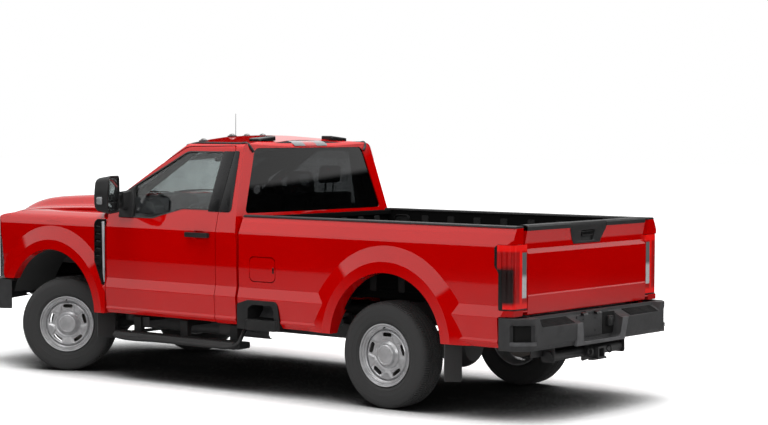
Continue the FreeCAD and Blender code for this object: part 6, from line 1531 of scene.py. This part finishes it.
class TRUCK_OT_underbody(Operator):
    """Shields, brackets, body mounts, vacuum tank, shock absorbers and spring bolts"""
    bl_idname = "truck.underbody"
    bl_label = "Underbody"

    def execute(self, context):
        section = [(0.640, 0.600), (0.636, 0.604), (0.604, 0.604), (0.600, 0.592), (0.600, 0.420),
                   (0.585, 0.392), (0.545, 0.380), (0.545, 0.376), (0.588, 0.387), (0.605, 0.416),
                   (0.605, 0.588), (0.610, 0.599)]
        shield = plate(section, "X", -0.160, 1.500)
        holes = [bar((x, 0.55, 0.530), (x, 0.66, 0.530), 0.022, 24) for x in (0.15, 0.52, 0.86, 1.20)]
        pair(cut(shield, *holes), "side_shield", "black metal", bevel=0.002)
        plates = [slab(square(x, 0.425, x + 0.154, 0.508, 0.008), "Y", 0.858, 0.006) for x in (-0.017, 0.933)]
        pair(joined(*plates), "board_brackets", "bumper grey", bevel=0.0015)
        mounts = []
        for x in (-0.10, 0.62, 1.28):
            cup = turned([(0.455, 0.020), (0.455, 0.062), (0.470, 0.070), (0.515, 0.070), (0.530, 0.055),
                          (0.530, 0.020)], (x, 0.700, 0), "Z", 40)
            bolt = turned([(0.440, 0.0), (0.440, 0.012), (0.456, 0.014), (0.456, 0.0)], (x, 0.700, 0), "Z", 6)
            arm = plate([(x - 0.06, 0.600), (x + 0.06, 0.600), (x + 0.045, 0.700), (x - 0.045, 0.700)], "Z",
                        0.500, 0.012)
            mounts += [cup, bolt, arm]
        pair(joined(*mounts), "body_mounts", "black metal", bevel=0.0015)
        drum = turned([(0.640, 0.0), (0.640, 0.050), (0.652, 0.066), (0.700, 0.070), (0.716, 0.060),
                       (0.722, 0.030), (0.722, 0.0)], (0.700, 0, 0.490), "Y", 48)
        finish(drum, "vacuum_tank", "black metal", angle=35.0)
        body = turned([(0.0, 0.0), (0.0, 0.026), (0.006, 0.030), (0.300, 0.030), (0.306, 0.026),
                       (0.306, 0.010), (0.520, 0.010), (0.520, 0.0)], (0, 0, 0), "Z", 28)
        shocks = []
        for x, y, z, lean_x, lean_y in ((-1.700, 0.420, 0.330, -0.30, 0.05),
                                        (1.850, 0.560, 0.330, 0.10, -0.12)):
            one = twin(body)
            shocks.append(moved(one, lambda at: Vector((x + at.x + lean_x * at.z, y + at.y + lean_y * at.z,
                                                        z + at.z))))
        bpy.data.objects.remove(body, do_unlink=True)
        pair(joined(*shocks), "shock_absorbers", "black metal")
        straps = []
        for x in (-1.690, -1.562):
            straps.append(pipe([(x, 0.510, 0.420), (x, 0.510, 0.500), (x, 0.515, 0.535), (x, 0.545, 0.548),
                                (x, 0.575, 0.535), (x, 0.580, 0.500), (x, 0.580, 0.420)], 0.008))
        pair(joined(*straps), "spring_bolts", "steel")
        return {"FINISHED"}


# Studio

class TRUCK_OT_studio(Operator):
    """Set up the floor, the soft lamps, the surround and the camera"""
    bl_idname = "truck.studio"
    bl_label = "Studio"

    def execute(self, context):
        set_up = context.scene.truck_studio
        settle()
        bpy.ops.mesh.primitive_plane_add(size=set_up.spread)
        floor = context.object
        floor.name = "studio_floor"
        floor.data.materials.append(floor_finish())
        settle()
        for name, place, aim, size, power in (
                ("overhead_lamp", (-0.5, 0.5, 6.5), (0, 0, 0), (8.0, 5.0), set_up.key),
                ("side_lamp", (-8.0, 9.0, 4.5), (0, 0, 1.0), (5.0, 4.0), set_up.side),
                ("rear_lamp", (-9.0, -3.5, 3.5), (-2.7, 0, 1.0), (4.0, 3.0), set_up.rear)):
            bpy.ops.object.light_add(type="AREA", location=place)
            lamp = context.object
            lamp.name = name
            lamp.data.shape = "RECTANGLE"
            lamp.data.size, lamp.data.size_y = size
            lamp.data.energy = power
            lamp.rotation_euler = (Vector(aim) - Vector(place)).to_track_quat("-Z", "Y").to_euler()
        world = bpy.data.worlds.new("studio_surround")
        context.scene.world = world
        world.use_nodes = True
        world.node_tree.nodes.clear()
        net = Net(world.node_tree)
        path = net.add("ShaderNodeLightPath")
        way = net.add("ShaderNodeSeparateXYZ")
        net.link(net.add("ShaderNodeTexCoord").outputs["Generated"], way.inputs[0])
        mirrored_light = net.ramp(way.outputs["Z"], 0.150, 0.168, 0.0, 1.0)
        seen = net.math("MAXIMUM", path.outputs["Is Camera Ray"], path.outputs["Is Transmission Ray"])
        strength = net.blend(path.outputs["Is Glossy Ray"], set_up.sky, mirrored_light)
        strength = net.blend(seen, strength, 1.0)
        light = net.add("ShaderNodeBackground", Color=(1, 1, 1, 1), Strength=strength)
        ending = net.add("ShaderNodeOutputWorld", Surface=light.outputs[0])
        self.camera(context, set_up)
        context.scene.view_settings.view_transform = "Standard"
        return {"FINISHED"}

    def camera(self, context, set_up):
        """Camera at the photograph's viewing angle."""
        bpy.ops.object.camera_add(location=set_up.camera_at)
        camera = context.object
        camera.name = "studio_camera"
        ahead = Vector((math.cos(set_up.elevation) * math.cos(set_up.azimuth),
                        math.cos(set_up.elevation) * math.sin(set_up.azimuth), math.sin(set_up.elevation)))
        right = ahead.cross(Vector((0, 0, 1))).normalized()
        up = right.cross(ahead)
        tilted = right * math.cos(set_up.roll) + up * math.sin(set_up.roll)
        upright = up * math.cos(set_up.roll) - right * math.sin(set_up.roll)
        camera.rotation_euler = Matrix((tilted, upright, -ahead)).transposed().to_euler()
        camera.data.sensor_width = 36.0
        camera.data.lens = set_up.lens
        camera.data.clip_end = 400.0
        context.scene.camera = camera


def floor_finish():
    """White floor that keeps the truck's shadow, darkened further by ambient occlusion near the truck as a
    painted shadow, and that darkens far off in reflections as a painted dark reflection.
    """
    material = bpy.data.materials.new("studio floor")
    material.use_nodes = True
    material.node_tree.nodes.clear()
    net = Net(material.node_tree)
    path = net.add("ShaderNodeLightPath")
    spot, _ = net.place()
    reach = net.add("ShaderNodeVectorMath", operation="LENGTH")
    net.link(spot, reach.inputs[0])
    far = net.ramp(reach.outputs["Value"], 4.5, 9.0)
    seen = net.math("MAXIMUM", path.outputs["Is Camera Ray"], path.outputs["Is Transmission Ray"])
    # Ambient occlusion darkens the floor's seen colour under and beside the truck: a painted shadow.
    covered = net.add("ShaderNodeAmbientOcclusion", samples=8, Distance=1.7)
    painted_contact_shadow = net.ramp(covered.outputs["AO"], 0.25, 0.85, 0.03, 1.45)
    base = net.add("ShaderNodeBsdfDiffuse", Color=net.blend(seen, 0.7, painted_contact_shadow))
    glow = net.add("ShaderNodeEmission", Strength=net.math("MULTIPLY", net.math("MULTIPLY", seen, far), 0.75))
    lit = net.add("ShaderNodeAddShader")
    net.link(base.outputs[0], lit.inputs[0])
    net.link(glow.outputs[0], lit.inputs[1])
    # Far off, glossy rays see a black emission instead of the lit floor: a painted dark reflection.
    dim = net.add("ShaderNodeEmission", Strength=0.0)
    shown = net.add("ShaderNodeMixShader")
    mirrored_only = net.math("MULTIPLY", path.outputs["Is Glossy Ray"], net.math("SUBTRACT", 1.0, seen))
    net.link(net.math("MULTIPLY", mirrored_only, net.ramp(reach.outputs["Value"], 5.0, 15.0, 0.4, 1.0)),
             shown.inputs["Fac"])
    net.link(lit.outputs[0], shown.inputs[1])
    net.link(dim.outputs[0], shown.inputs[2])
    ending = net.add("ShaderNodeOutputMaterial", Surface=shown.outputs[0])
    return material


# Panel and registration

class TRUCK_PT_parts(Panel):
    """Buttons for the truck's piece groups"""
    bl_idname = "TRUCK_PT_parts"
    bl_label = "Pickup truck"
    bl_space_type = "VIEW_3D"
    bl_region_type = "UI"
    bl_category = "Pickup"

    def draw(self, context):
        for settings in (context.scene.truck_paint, context.scene.truck_studio):
            for name in settings.bl_rna.properties.keys():
                if name not in {"rna_type", "name"}:
                    self.layout.prop(settings, name)
        for step in STEPS:
            self.layout.operator(step.bl_idname)


STEPS = (TRUCK_OT_studio, TRUCK_OT_finishes, TRUCK_OT_wheels, TRUCK_OT_cab_trim, TRUCK_OT_roof_lamps,
         TRUCK_OT_mirrors, TRUCK_OT_fender_trim, TRUCK_OT_seats, TRUCK_OT_cabin, TRUCK_OT_tailgate_trim,
         TRUCK_OT_bed_liner, TRUCK_OT_bumpers, TRUCK_OT_front_lamps, TRUCK_OT_steps, TRUCK_OT_underbody)
CLASSES = (TruckPaint, TruckStudio, *STEPS, TRUCK_PT_parts)


def register():
    """Register the classes and their settings."""
    for kind in CLASSES:
        bpy.utils.register_class(kind)
    bpy.types.Scene.truck_paint = PointerProperty(type=TruckPaint)
    bpy.types.Scene.truck_studio = PointerProperty(type=TruckStudio)


def unregister():
    """Take the settings and classes out again."""
    del bpy.types.Scene.truck_studio
    del bpy.types.Scene.truck_paint
    for kind in reversed(CLASSES):
        bpy.utils.unregister_class(kind)


def main():
    """Build every piece in order."""
    register()
    bpy.ops.truck.studio()
    bpy.ops.truck.finishes()
    bpy.ops.truck.wheels()
    bpy.ops.truck.cab_trim()
    bpy.ops.truck.roof_lamps()
    bpy.ops.truck.mirrors()
    bpy.ops.truck.fender_trim()
    bpy.ops.truck.seats()
    bpy.ops.truck.cabin()
    bpy.ops.truck.tailgate_trim()
    bpy.ops.truck.bed_liner()
    bpy.ops.truck.bumpers()
    bpy.ops.truck.front_lamps()
    bpy.ops.truck.steps()
    bpy.ops.truck.underbody()


if __name__ == "__main__":
    main()
